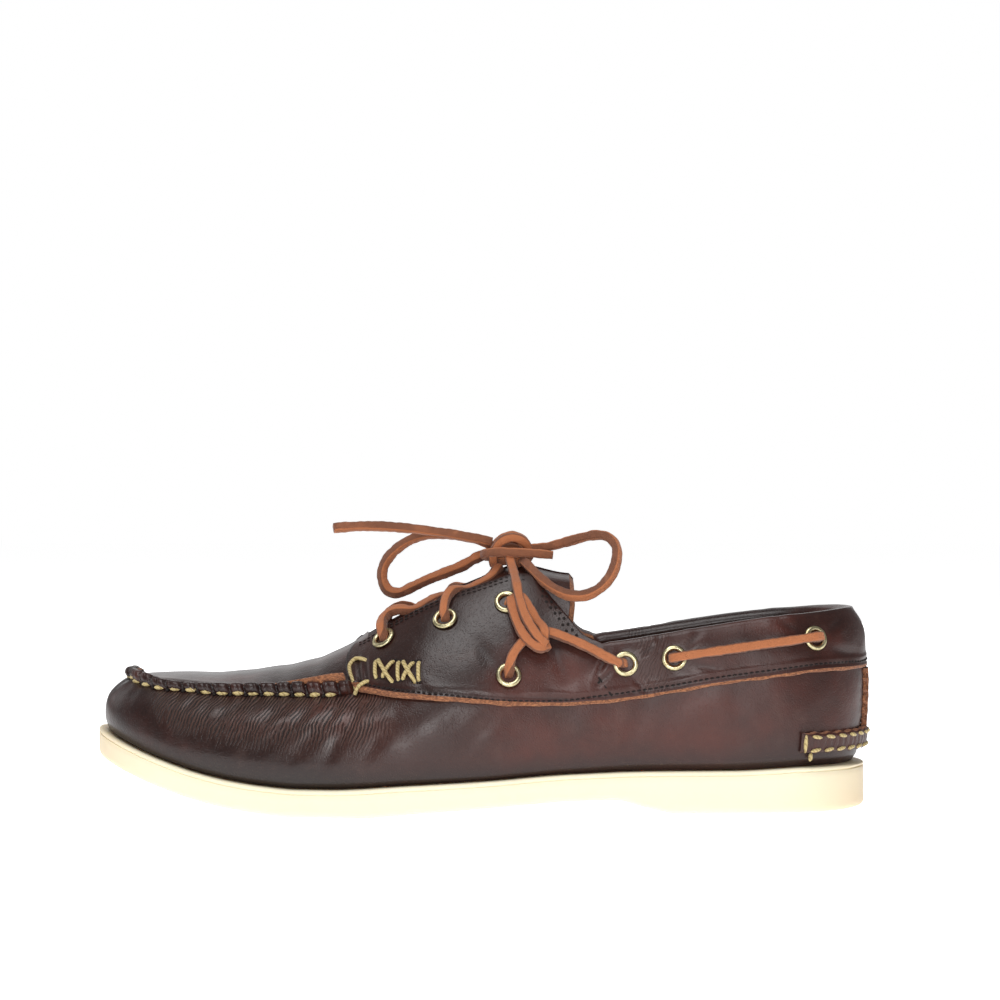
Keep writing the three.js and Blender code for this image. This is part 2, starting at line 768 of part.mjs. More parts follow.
// Knot, loops and ends of the bow. The knot is a rounded block.
const knotCentre = [10, -3, 96.9];
const knotSize = [14, 13, 12];
const knotSquareness = 0.65;
function knot() {
  const [around, high] = [12, 8];
  const ball = new THREE.SphereGeometry(1, around, high);
  const position = ball.getAttribute('position');
  const squared = (value) => Math.sign(value) * Math.abs(value) ** knotSquareness / 2;
  for (let i = 0; i < position.count; i += 1) {
    position.setXYZ(i, squared(position.getX(i)), squared(position.getY(i)), squared(position.getZ(i)));
  }
  ball.scale(...knotSize);
  ball.translate(...knotCentre);
  return toSolid(ball);
}

const longEnd = [
  [3.1, -3.4, 99.8], [-2.0, -4.0, 100.9], [-6.5, -4.5, 101.7], [-11.0, -5.0, 102.5],
  [-15.5, -5.6, 103.2], [-20.0, -6.2, 103.8], [-24.5, -6.9, 104.4], [-29.0, -7.6, 104.9],
  [-33.5, -8.4, 105.3], [-38.0, -9.2, 105.6], [-42.5, -10.1, 105.7], [-46.5, -11.0, 105.7],
  [-50.0, -11.8, 105.5], [-53.5, -12.6, 105.3], [-56.5, -13.3, 105.0],
];
const shortEnd = [
  [1.6, 0.5, 94.0], [0.6, -3.0, 94.6], [0.6, -7.0, 95.2], [2.6, -10.2, 95.7],
  [6.0, -11.3, 96.0], [8.0, -11.5, 96.0], [10.0, -11.6, 95.9], [12.0, -11.6, 95.8],
  [14.0, -11.6, 95.7], [16.0, -11.5, 95.6], [18.0, -11.4, 95.5], [20.0, -11.2, 95.4],
  [22.0, -11.0, 95.2], [24.0, -10.8, 95.0], [26.0, -10.5, 94.8],
];
const leftLoop = [
  [3.2, 1.3, 98.2], [-3.5, 2.6, 100.6], [-9.5, 4.0, 101.8], [-15.5, 5.5, 102.4],
  [-21.5, 7.0, 102.3], [-27.0, 8.4, 100.8], [-32.0, 9.6, 98.0], [-36.2, 10.4, 94.2],
  [-38.8, 10.8, 89.8], [-39.2, 10.6, 85.2], [-37.0, 10.0, 80.8], [-33.0, 8.6, 79.8],
  [-27.4, 7.2, 82.2], [-21.5, 6.2, 85.0], [-15.0, 5.4, 87.6], [-8.5, 4.6, 90.2],
  [-2.5, 3.8, 93.6], [2.9, 2.9, 95.6],
];
const rightLoop = [
  [17.6, -3.2, 97.1], [23.3, -5.0, 97.6], [28.5, -6.6, 98.9], [33.5, -8.2, 100.3],
  [38.5, -10.2, 101.7], [43.3, -12.8, 102.4], [47.3, -16.0, 101.4], [49.8, -19.6, 97.9],
  [49.6, -23.2, 92.8], [47.4, -26.6, 87.4], [43.2, -29.4, 82.9], [37.6, -31.0, 80.3],
  [31.6, -31.0, 80.4], [26.4, -28.8, 82.6], [22.0, -24.4, 85.8], [18.6, -18.8, 89.0],
  [16.4, -13.2, 91.3], [14.8, -9.8, 92.5],
];
const cordSides = 8;
const cord = (points, steps) => strand(points.map((point) => new THREE.Vector3(...point)), steps, cordSides);

// Finishes
const finishes = {
  leather: { color: 0x4a2a26, roughness: 0.38, metalness: 0 },
  rubber: { color: 0xf3e9cf, roughness: 0.6, metalness: 0 },
  lining: { color: 0xb98a5a, roughness: 0.8, metalness: 0 },
  brass: { color: 0xb9ad78, roughness: 0.3, metalness: 0.9 },
  rawhide: { color: 0xb5653a, roughness: 0.75, metalness: 0 },
};

const shoe = new THREE.Group();
function add(name, solid, finish) {
  const mesh = new THREE.Mesh(toGeometry(solid), new THREE.MeshStandardMaterial(finishes[finish]));
  mesh.name = name;
  shoe.add(mesh);
}

add('outsole', outsole(), 'rubber');
add('insole', insole(), 'lining');
add('upper', upper(), 'leather');
add('tongue', tongue(), 'leather');
add('saddle_band', saddleBand(), 'leather');
add('collar_roll', collarRoll(), 'leather');
add('heel_strap', heelStrap(), 'leather');
add('back_strip', backStrip(), 'leather');
eyeletPlaces.forEach((place) => add(place.name, eyelet(place), 'brass'));
add('lace_bar_front', laceBar(eyelets.front, 0.045), 'rawhide');
add('lace_bar_middle', laceBar(eyelets.middle, 0.042), 'rawhide');
add('lace_tie_outer', laceTie(-1), 'rawhide');
add('lace_tie_inner', laceTie(1), 'rawhide');
add('lace_side_outer', laceSide(-1), 'rawhide');
add('lace_side_inner', laceSide(1), 'rawhide');
add('lace_knot', knot(), 'rawhide');
add('lace_loop_left', cord(leftLoop, 20), 'rawhide');
add('lace_loop_right', cord(rightLoop, 18), 'rawhide');
add('lace_end_long', cord(longEnd, 9), 'rawhide');
add('lace_end_short', cord(shortEnd, 7), 'rawhide');

export default shoe;
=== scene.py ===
"""Looks of a left boat shoe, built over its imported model. Shapes are worked out in millimetres."""

import logging
import math
from collections.abc import Callable, Sequence
from dataclasses import dataclass
from enum import Enum, IntEnum

import bmesh
import bpy
import numpy as np
from mathutils import Matrix, Vector


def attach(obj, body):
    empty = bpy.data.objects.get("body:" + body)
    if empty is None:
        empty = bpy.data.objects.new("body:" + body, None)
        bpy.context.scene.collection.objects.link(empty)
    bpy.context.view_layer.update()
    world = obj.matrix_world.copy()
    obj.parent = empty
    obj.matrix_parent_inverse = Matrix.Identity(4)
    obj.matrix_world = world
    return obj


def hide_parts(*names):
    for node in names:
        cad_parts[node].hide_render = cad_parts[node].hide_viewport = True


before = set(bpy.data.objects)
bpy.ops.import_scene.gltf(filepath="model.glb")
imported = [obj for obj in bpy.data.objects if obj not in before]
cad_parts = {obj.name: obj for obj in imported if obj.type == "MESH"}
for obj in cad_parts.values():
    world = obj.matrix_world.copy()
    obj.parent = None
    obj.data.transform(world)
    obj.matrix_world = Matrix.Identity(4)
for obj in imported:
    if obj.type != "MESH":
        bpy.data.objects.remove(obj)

LOG = logging.getLogger("boat_shoe")
MM = 0.001
Array = np.ndarray
Rows = tuple[tuple[float, ...], ...]
UP = np.array([0.0, 0.0, 1.0])


class Side(IntEnum):
    """The two sides of the shoe, by the sign of Y."""

    OUTER = -1
    INNER = 1


class Slot(Enum):
    """The record's material slots."""

    LEATHER = "leather"
    RUBBER = "rubber"
    LINING = "lining"
    BRASS = "brass"
    RAWHIDE = "rawhide"
    THREAD = "thread"


def smoothstep(low: float, high: float, value: Array) -> Array:
    """A soft step from 0 to 1.

    Args:
        low: Where the step starts.
        high: Where it ends.
        value: The values to weigh.

    Returns:
        The weight of each value.
    """
    share = np.clip((value - low) / (high - low), 0.0, 1.0)
    return share * share * (3 - 2 * share)


def unit(vectors: Array) -> Array:
    """The vectors at length one."""
    length = np.linalg.norm(vectors, axis=-1, keepdims=True)
    return vectors / np.maximum(length, 1e-9)


def ripple(points: Array, pitch: float) -> Array:
    """Smooth unevenness that never repeats on the shoe.

    Args:
        points: Places in millimetres.
        pitch: The rough distance between two swells.

    Returns:
        Values from about -1 to 1.
    """
    x, y, z = np.moveaxis(points, -1, 0) * (2 * math.pi / pitch)
    first = np.sin(x * 0.83 + 1.7 * np.sin(z * 0.61 + 0.4) + y * 0.37)
    second = np.sin(z * 1.13 + 1.3 * np.sin(x * 0.47 + 2.1) - y * 0.71 + 1.9)
    return (first + second) / 2


class Table:
    """One column of a table as a smooth function that never overshoots its rows."""

    def __init__(self, rows: Rows, column: int) -> None:
        """Works out the slopes.

        Args:
            rows: The table, with the place in the first column.
            column: The column to follow.
        """
        table = np.array(rows)
        self.at, self.value = table[:, 0], table[:, column]
        step = np.diff(self.value) / np.diff(self.at)
        inner = np.zeros(len(step) - 1)
        rising = step[:-1] * step[1:] > 0
        inner[rising] = 2 * step[:-1][rising] * step[1:][rising] / (step[:-1] + step[1:])[rising]
        self.slope = np.concatenate([[step[0]], inner, [step[-1]]])

    def __call__(self, at: Array) -> Array:
        """The column's value at each place."""
        at = np.clip(at, self.at[0], self.at[-1])
        i = np.clip(np.searchsorted(self.at, at) - 1, 0, len(self.at) - 2)
        width = self.at[i + 1] - self.at[i]
        t = (at - self.at[i]) / width
        rest = 1 - t
        low = (1 + 2 * t) * rest * rest * self.value[i] + t * rest * rest * width * self.slope[i]
        high = t * t * (3 - 2 * t) * self.value[i + 1] - t * t * rest * width * self.slope[i + 1]
        return low + high


def smooth_path(points: Sequence[Sequence[float]] | Array, step: float = 0.6) -> Array:
    """A smooth line through points, divided evenly.

    Args:
        points: The points that the line passes.
        step: The distance between the line's points.

    Returns:
        The line's points.
    """
    knots = np.array(points, float)
    knots = np.vstack([2 * knots[0] - knots[1], knots, 2 * knots[-1] - knots[-2]])
    fine = []
    for i in range(len(knots) - 3):
        t = np.linspace(0, 1, 24, endpoint=False)[:, None]
        a, b, c, d = knots[i : i + 4]
        one, two, three = (max(np.linalg.norm(q - p) ** 0.5, 1e-6) for p, q in ((a, b), (b, c), (c, d)))
        start = ((b - a) / one - (c - a) / (one + two) + (c - b) / two) * two
        end = ((c - b) / two - (d - b) / (two + three) + (d - c) / three) * two
        square, cube = 3 * (c - b) - 2 * start - end, 2 * (b - c) + start + end
        fine.append(b + start * t + square * t**2 + cube * t**3)
    line = np.vstack([*fine, knots[-2:-1]])
    return evenly(line, step)


def evenly(line: Array, step: float) -> Array:
    """The same line with points at even distances."""
    run = np.concatenate([[0], np.cumsum(np.linalg.norm(np.diff(line, axis=0), axis=1))])
    count = max(int(round(run[-1] / step)), 2)
    places = np.linspace(0, run[-1], count + 1)
    return np.stack([np.interp(places, run, line[:, k]) for k in range(line.shape[1])], axis=1)


@dataclass(frozen=True)
class Last:
    """The form that the shoe is made on.

    turn runs from 0 at the toe over the outer side to 0.5 at the heel and over the inner side back to 1,
    level from 0 at the sole over 0.5 at the shoulder to 1 on top, and at from 0 at the toe to 1 at the heel.
    """

    length: float = 292.0
    ball_width: float = 103.0
    toe_round: float = 62.0
    toe_power: float = 2.3
    heel_round: float = 40.0
    heel_power: float = 2.1
    toe_spring: float = 19.4
    sole_thickness: float = 9.9
    heel_rise: float = 6.9
    instep: float = 94.0
    collar: float = 74.8
    overhang: float = 2.8
    bulge_share: float = 0.3
    bend_share: float = 0.72
    spine_front: float = 0.15
    spine_back: float = 0.87
    outline_rows: Rows = (
        (0.0, 0.075, 0.395), (0.1, 0.065, 0.415), (0.2, 0.045, 0.46), (0.3, 0.015, 0.495),
        (0.38, -0.01, 0.497), (0.5, -0.035, 0.435), (0.62, -0.03, 0.372), (0.72, -0.012, 0.345),
        (0.85, 0.0, 0.338), (1.0, 0.0, 0.325),
    )
    sole_rows: Rows = (
        (0.0, 1.0, 0.0), (0.02, 0.88, 0.0), (0.05, 0.7, 0.0), (0.09, 0.485, 0.0), (0.14, 0.265, 0.0),
        (0.19, 0.115, 0.0), (0.23, 0.04, 0.0), (0.27, 0.0, 0.0), (0.31, 0.0, 0.0), (0.41, 0.0, 0.24),
        (0.51, 0.0, 0.43), (0.61, 0.0, 0.7), (0.71, 0.0, 0.8), (0.82, 0.0, 0.81), (0.92, 0.0, 0.98),
        (1.0, 0.0, 1.0),
    )
    section_rows: Rows = (
        (0.0, 0.039, 0.023, 0.041, 0.112, 0.504, 0.511, 2.0),
        (0.05, 0.034, 0.021, 0.047, 0.131, 0.502, 0.511, 2.0),
        (0.1, 0.031, 0.017, 0.05, 0.15, 0.491, 0.514, 2.0),
        (0.19, 0.029, 0.012, 0.053, 0.168, 0.466, 0.534, 2.0),
        (0.26, 0.029, 0.01, 0.053, 0.17, 0.463, 0.564, 2.0),
        (0.33, 0.029, 0.01, 0.051, 0.16, 0.471, 0.643, 2.1),
        (0.38, 0.029, 0.01, 0.042, 0.115, 0.468, 0.755, 2.2),
        (0.44, 0.028, 0.01, 0.018, 0.05, 0.463, 0.862, 2.2),
        (0.5, 0.026, 0.009, 0.009, 0.025, 0.463, 0.95, 2.2),
        (0.55, 0.025, 0.007, 0.006, 0.019, 0.473, 1.0, 2.2),
        (0.61, 0.023, 0.003, 0.003, 0.018, 0.532, 0.965, 2.2),
        (0.7, 0.021, -0.006, 0.0, 0.023, 0.67, 0.95, 2.3),
        (0.8, 0.019, -0.012, -0.006, 0.029, 0.718, 0.97, 2.4),
        (0.88, 0.021, -0.014, 0.0, 0.041, 0.745, 0.98, 2.4),
        (1.0, 0.029, 0.008, 0.008, 0.05, 0.76, 0.98, 2.4),
    )

    def x_of(self, at: Array) -> Array:
        """X of a share of the length."""
        return (np.asarray(at) - 0.5) * self.length - self.overhang / 2

    def at_of(self, x: Array) -> Array:
        """The share of the length at X."""
        return (np.asarray(x) + self.overhang / 2) / self.length + 0.5

    def middle(self, at: Array) -> Array:
        """Y of the centre line."""
        return Table(self.outline_rows, 1)(at) * self.ball_width

    def aside(self, points: Array) -> Array:
        """How far points lie from the centre line, seen from above."""
        return np.abs(points[..., 1] - self.middle(self.at_of(points[..., 0])))

    def underside(self, at: Array) -> Array:
        """Height of the sole's underside, arch left out."""
        return Table(self.sole_rows, 1)(at) * self.toe_spring

    def sole_top(self, at: Array) -> Array:
        """Height of the sole's top."""
        return self.underside(at) + self.sole_thickness + Table(self.sole_rows, 2)(at) * self.heel_rise

    def section(self, column: int, at: Array) -> Array:
        """One column of the sections."""
        return Table(self.section_rows, column)(at)

    def edge(self, turn: Array) -> Array:
        """The sole's edge seen from above.

        Args:
            turn: The places round the shoe.

        Returns:
            X and Y of each.
        """
        at = (1 - np.cos(2 * np.pi * turn)) / 2
        side = np.where(np.mod(turn, 1) < 0.5, -1.0, 1.0)
        rounds = 1.0
        ends = ((at, self.toe_round, self.toe_power), (1 - at, self.heel_round, self.heel_power))
        for share, size, power in ends:
            inside = np.clip(1 - share * self.length / size, 0.0, 1.0)
            rounds = rounds * (1 - inside**power) ** (1 / power)
        half = Table(self.outline_rows, 2)(at) * self.ball_width * rounds
        return np.stack([self.x_of(at), self.middle(at) + side * half], axis=-1)

    def inward(self, turn: Array) -> Array:
        """The direction into the shoe at the sole's edge."""
        tangent = unit(self.edge(turn + 0.0005) - self.edge(turn - 0.0005))
        return np.stack([-tangent[..., 1], tangent[..., 0]], axis=-1)

    def controls(self, turn: Array) -> Array:
        """Works out the section curve of each turn.

        Args:
            turn: The places round the shoe.

        Returns:
            The seven points that each curve passes.
        """
        edge, into = self.edge(turn), self.inward(turn)
        at = self.at_of(edge[..., 0])
        inset = [
            self.section(column, at)[..., None] * self.ball_width * into + edge for column in (1, 2, 3, 4)
        ]
        low = self.sole_top(self.at_of(inset[0][..., 0]))
        high = self.section(5, at) * self.instep
        points = []
        for place, share in zip(inset, (0.0, self.bulge_share, self.bend_share, 1.0)):
            points.append(np.concatenate([place, (low + (high - low) * share)[..., None]], axis=-1))
        spine = np.clip(at, self.spine_front, self.spine_back)
        height = self.section(6, spine) * self.instep
        crown = np.stack([self.x_of(spine), self.middle(spine), height], axis=-1)
        shoulder = points[3]
        for share in (0.3, 0.65, 1.0):
            point = shoulder + (crown - shoulder) * share
            rise = 1 - (1 - share) ** self.section(7, at)
            point[..., 2] = shoulder[..., 2] + (crown[..., 2] - shoulder[..., 2]) * rise
            points.append(point)
        return np.stack(points, axis=-2)

    @staticmethod
    def on_curve(knots: Array, level: Array) -> Array:
        """Points on section curves.

        Args:
            knots: The seven points of each curve.
            level: How far up each point lies.

        Returns:
            The points.
        """
        first = 2 * knots[..., :1, :] - knots[..., 1:2, :]
        last = 2 * knots[..., -1:, :] - knots[..., -2:-1, :]
        knots = np.concatenate([first, knots, last], axis=-2)
        place = np.clip(level, 0, 1) * 6
        i = np.minimum(place.astype(int), 5)
        t = (place - i)[..., None]
        four = [(i + k)[..., None, None] for k in range(4)]
        a, b, c, d = (np.take_along_axis(knots, one, axis=-2)[..., 0, :] for one in four)
        steps = [np.linalg.norm(q - p, axis=-1, keepdims=True) for p, q in ((a, b), (b, c), (c, d))]
        one, two, three = (np.maximum(step, 1e-8) ** 0.5 for step in steps)
        start = ((b - a) / one - (c - a) / (one + two) + (c - b) / two) * two
        end = ((c - b) / two - (d - b) / (two + three) + (d - c) / three) * two
        return b + start * t + (3 * (c - b) - 2 * start - end) * t**2 + (2 * (b - c) + start + end) * t**3

    def point(self, turn: Array, level: Array) -> Array:
        """Points of the last."""
        turn, level = np.broadcast_arrays(np.asarray(turn, float), np.asarray(level, float))
        return self.on_curve(self.controls(turn), level)

    def axes(self, turn: Array, level: Array) -> tuple[Array, Array, Array, Array]:
        """Points of the last with their directions.

        Args:
            turn: The places round the shoe.
            level: The places on the way up.

        Returns:
            The points, the outward normals, the directions along the shoe and those up over it.
        """
        level = np.clip(level, 0.001, 0.998)
        along = unit(self.point(turn + 0.0015, level) - self.point(turn - 0.0015, level))
        over = unit(self.point(turn, level + 0.002) - self.point(turn, level - 0.001))
        normal = unit(np.cross(along, over))
        return self.point(turn, level), normal, along, unit(np.cross(normal, along))

    def place(self, turn: Array, level: Array, off: Array | float) -> Array:
        """Points at a distance from the last."""
        _, normal, _, _ = self.axes(turn, level)
        return self.point(turn, level) + normal * np.broadcast_to(off, np.shape(normal)[:-1])[..., None]

    def level_at(self, turn: Array, height: Array) -> Array:
        """Where the section curves reach a height."""
        return self.halve(self.controls(turn), lambda points: points[..., 2] < height)

    def halve(self, knots: Array, below: Callable[[Array], Array]) -> Array:
        """Finds the level at which a condition ends, by halving.

        Args:
            knots: The seven points of each curve.
            below: Says which points still lie below that level.

        Returns:
            The levels.
        """
        low, high = np.zeros(knots.shape[:-2]), np.ones(knots.shape[:-2])
        for _ in range(22):
            level = (low + high) / 2
            under = below(self.on_curve(knots, level))
            low, high = np.where(under, level, low), np.where(under, high, level)
        return low

    def solve(self, side: int, at: Array, value: Array, plan: bool = False) -> tuple[Array, Array]:
        """Finds points of the last.

        Args:
            side: The side of the shoe.
            at: The shares of the length.
            value: The heights, or the distances from the centre line where plan is set.
            plan: Whether the points are given as seen from above.

        Returns:
            The turn and the level of each.
        """
        at, value = np.broadcast_arrays(np.asarray(at, float), np.asarray(value, float))
        share = np.arccos(1 - 2 * at) / (2 * np.pi)
        level = np.zeros_like(share)
        for _ in range(7):
            knots = self.controls(share if side < 0 else 1 - share)
            if plan:
                level = self.halve(knots, lambda p: self.aside(p) > value)
            else:
                level = self.halve(knots, lambda p: p[..., 2] < value)
            miss = self.x_of(at) - self.on_curve(knots, level)[..., 0]
            slope = np.pi * self.length * np.sin(2 * np.pi * share) + 1e-6
            share = np.clip(share + miss / slope, 0.002, 0.498)
        return (share if side < 0 else 1 - share), level


LAST = Last()


@dataclass(frozen=True)
class Crease:
    """A soft trough with a low ridge on each side, from one place to another in the side view."""

    start: tuple[float, float]
    end: tuple[float, float]
    width: float
    depth: float

    def relief(self, points: Array) -> Array:
        """Works out how far the crease moves each point along its normal.

        Args:
            points: The places in millimetres.

        Returns:
            The moves in millimetres.
        """
        a, b = np.array(self.start), np.array(self.end)
        flat = points[..., [0, 2]]
        share = np.clip(((flat - a) @ (b - a)) / ((b - a) @ (b - a)), 0, 1)
        away = np.linalg.norm(flat - a - share[..., None] * (b - a), axis=-1) / self.width
        fade = np.sin(np.pi * np.clip(share, 0.04, 0.96)) ** 0.6
        return self.depth * fade * (0.45 * np.exp(-((away - 1.7) ** 2)) - np.exp(-(away**2)))


class Value:
    """A shader socket that sums can be written with."""

    def __init__(self, graph: "Graph", socket: bpy.types.NodeSocket) -> None:
        """Keeps the socket and the graph that it is in."""
        self.graph, self.socket = graph, socket

    def apply(self, operation: str, *others: "Value | float", clamp: bool = False) -> "Value":
        """The result of one Math node."""
        settings = {"operation": operation, "use_clamp": clamp}
        node = self.graph.node("ShaderNodeMath", settings, (self, *others))
        return Value(self.graph, node.outputs[0])

    def __add__(self, other: "Value | float") -> "Value":
        """The sum."""
        return self.apply("ADD", other)

    def __mul__(self, other: "Value | float") -> "Value":
        """The product."""
        return self.apply("MULTIPLY", other)

    def __sub__(self, other: "Value | float") -> "Value":
        """The difference."""
        return self.apply("SUBTRACT", other)

    def __rsub__(self, other: float) -> "Value":
        """The difference from a number."""
        return self * -1.0 + other

    __radd__ = __add__
    __rmul__ = __mul__

    def band(self, low: float, high: float) -> "Value":
        """A soft step from 0 to 1 between two values."""
        inputs = {"Value": self, "From Min": low, "From Max": high}
        node = self.graph.node("ShaderNodeMapRange", {"interpolation_type": "SMOOTHSTEP"}, inputs)
        return Value(self.graph, node.outputs["Result"])


Colour = tuple[float, float, float]


def linear(red: float, green: float, blue: float) -> tuple[float, float, float, float]:
    """A colour given in the usual 0 to 255 as the shader wants it."""
    parts = [c / 255 for c in (red, green, blue)]
    red, green, blue = (p / 12.92 if p <= 0.04045 else ((p + 0.055) / 1.055) ** 2.4 for p in parts)
    return red, green, blue, 1.0


class Graph:
    """The nodes of one material."""

    def __init__(self, name: str) -> None:
        """Makes an empty material.

        Args:
            name: The name of the material.
        """
        self.material = bpy.data.materials.new(name)
        self.material.use_nodes = True
        self.tree = self.material.node_tree
        self.tree.nodes.clear()

    def node(self, kind: str, settings: dict | None = None, inputs: dict | Sequence = ()) -> bpy.types.Node:
        """Makes one node.

        Args:
            kind: The type of the node.
            settings: What is set on the node itself, and a ramp's stops under that word.
            inputs: Numbers, colours or values for its sockets, by name or in order.

        Returns:
            The node.
        """
        made = self.tree.nodes.new(kind)
        for key, value in (settings or {}).items():
            if key == "stops":
                while len(made.color_ramp.elements) < len(value):
                    made.color_ramp.elements.new(0.5)
                for element, (place, colour) in zip(made.color_ramp.elements, value):
                    element.position, element.color = place, colour
            else:
                setattr(made, key, value)
        pairs = inputs.items() if isinstance(inputs, dict) else enumerate(inputs)
        for key, value in pairs:
            if isinstance(value, Value):
                self.tree.links.new(value.socket, made.inputs[key])
            elif value is not None:
                made.inputs[key].default_value = value
        return made

    def output(self, node: bpy.types.Node, name: str | int = 0) -> Value:
        """One output of a node as a value."""
        return Value(self, node.outputs[name])

    def place(
        self, scale: Colour = (1.0, 1.0, 1.0), turn: Colour = (0.0, 0.0, 0.0), uv: bool = False
    ) -> Value:
        """The place on the piece, in metres times the scale.

        Args:
            scale: How the pattern is stretched.
            turn: How it is turned.
            uv: Whether it follows the piece's own map.

        Returns:
            The place as a vector.
        """
        where = self.output(self.node("ShaderNodeTexCoord"), "UV" if uv else "Object")
        inputs = {"Vector": where, "Scale": scale, "Rotation": turn}
        return self.output(self.node("ShaderNodeMapping", None, inputs))

    def noise(
        self, scale: float, detail: float = 2.0, rough: float = 0.5, place: Value | None = None
    ) -> Value:
        """Cloudy noise from 0 to 1.

        Args:
            scale: Swells per metre, or per unit of the place.
            detail: How many finer layers it has.
            rough: How strong they are.
            place: Where it is read, the piece's own place if left out.

        Returns:
            The noise.
        """
        inputs = {"Vector": place or self.place(), "Scale": scale, "Detail": detail, "Roughness": rough}
        return self.output(self.node("ShaderNodeTexNoise", None, inputs), "Fac")

    def cells(self, scale: float, place: Value | None = None, feature: str = "F1") -> Value:
        """The distance to the nearest of scattered points, or to a cell's edge."""
        inputs = {"Vector": place or self.place(), "Scale": scale}
        return self.output(self.node("ShaderNodeTexVoronoi", {"feature": feature}, inputs), "Distance")

    def attribute(self, name: str) -> Value:
        """A number that the mesh carries."""
        return self.output(self.node("ShaderNodeAttribute", {"attribute_name": name}), "Fac")

    def mix(self, share: Value | float, first: Value | tuple, second: Value | tuple) -> Value:
        """A colour between two."""
        node = self.node("ShaderNodeMix", {"data_type": "RGBA"}, {0: share, 6: first, 7: second})
        return Value(self, node.outputs[2])

    def bump(self, height: Value, distance: float, strength: float = 1.0) -> Value:
        """A normal from a height.

        Args:
            height: The height, from 0 to 1.
            distance: The full height in millimetres.
            strength: How much of it shows.

        Returns:
            The normal.
        """
        inputs = {"Height": height, "Distance": distance * MM, "Strength": strength}
        return self.output(self.node("ShaderNodeBump", None, inputs))

    def surface(self, inputs: dict) -> bpy.types.Material:
        """Ends the material in one Principled surface.

        Args:
            inputs: The surface's sockets.

        Returns:
            The finished material.
        """
        shader = self.node("ShaderNodeBsdfPrincipled", None, inputs)
        self.node("ShaderNodeOutputMaterial", None, {"Surface": self.output(shader)})
        return self.material


@dataclass(frozen=True)
class Leather:
    """Oiled pull-up leather with a fine grain, cloudy colour, creases where the mesh asks for them, and
    painted shade and highlights.
    """

    name: str = "oiled_leather"
    deep: Colour = (32, 12, 8)
    base: Colour = (54, 22, 15)
    warm: Colour = (84, 32, 20)
    dusty: Colour = (92, 66, 58)
    grain: float = 0.16
    rough: float = 0.33

    def material(self) -> bpy.types.Material:
        """Builds the nodes."""
        g = Graph(self.name)
        cloud = g.noise(11, 3, 0.5)
        patch = g.noise(17, 4, 0.6, g.place((1.0, 1.6, 1.0)))
        fine = g.noise(420, 3, 0.6)
        crease = g.attribute("crease").band(0.14, 1.0)
        bands = {"wave_type": "BANDS", "bands_direction": "X"}
        turned = g.place((1.0, 1.0, 1.0), (0.0, 0.0, 0.27), uv=True)
        inputs = {"Vector": turned, "Scale": 240.0, "Distortion": 9.0, "Detail": 3.0, "Detail Scale": 0.5}
        wave = g.output(g.node("ShaderNodeTexWave", bands, inputs), "Fac")
        broken = g.noise(1.0, 3, 0.6, g.place((420.0, 75.0, 1.0), (0.0, 0.0, 0.27), uv=True)).band(0.36, 0.54)
        # line marks the crease grooves, for their bump and for their painted shade
        line = wave.band(0.5, 0.98) * broken * crease
        tone = g.mix(cloud.band(0.35, 0.62), linear(*self.deep), linear(*self.base))
        tone = g.mix(patch.band(0.48, 0.72) * 0.7, tone, linear(*self.warm))
        worn = g.noise(70, 5, 0.65).band(0.52, 0.78) * 0.22 + fine.band(0.5, 0.8) * 0.1 + crease * 0.22
        tone = g.mix(worn, tone, linear(*self.dusty))
        # painted highlight: the strips between the crease grooves drawn lighter
        tone = g.mix(wave.band(0.45, 0.1) * broken * crease * 0.28, tone, linear(120, 92, 82))
        # painted shade: the crease grooves drawn nearly black
        tone = g.mix(line * 0.9, tone, linear(18, 9, 8))
        tone = g.mix(g.attribute("shade") * 0.85, tone, linear(22, 13, 13))
        pores = g.cells(1250)
        wrinkle = g.noise(260, 4, 0.6)
        height = pores.band(0.0, 0.55) * 0.4 + wrinkle * 0.9 + fine * 0.35 - line * 3.0
        normal = g.bump(height, self.grain)
        rough = cloud.band(0.3, 0.7) * 0.1 + self.rough + line * 0.12 + fine * 0.06
        inputs = {
            "Base Color": tone,
            "Roughness": rough,
            "Normal": normal,
            "Specular IOR Level": 0.42,
            "Coat Weight": 0.16,
            "Coat Roughness": 0.24,
        }
        return g.surface(inputs)


@dataclass(frozen=True)
class RawEdge:
    """Cut leather with its fibres showing."""

    name: str = "raw_edge"
    light: Colour = (176, 116, 76)
    dark: Colour = (104, 62, 42)

    def material(self) -> bpy.types.Material:
        """Builds the nodes."""
        g = Graph(self.name)
        fibre = g.noise(1.0, 4, 0.7, g.place((900.0, 900.0, 2200.0)))
        blotch = g.noise(260, 3, 0.6)
        tone = g.mix(fibre.band(0.35, 0.7), linear(*self.dark), linear(*self.light))
        tone = g.mix(blotch.band(0.5, 0.75) * 0.6, tone, linear(94, 52, 38))
        normal = g.bump(fibre + blotch * 0.5, 0.25)
        return g.surface({"Base Color": tone, "Roughness": 0.85, "Normal": normal, "Sheen Weight": 0.1})


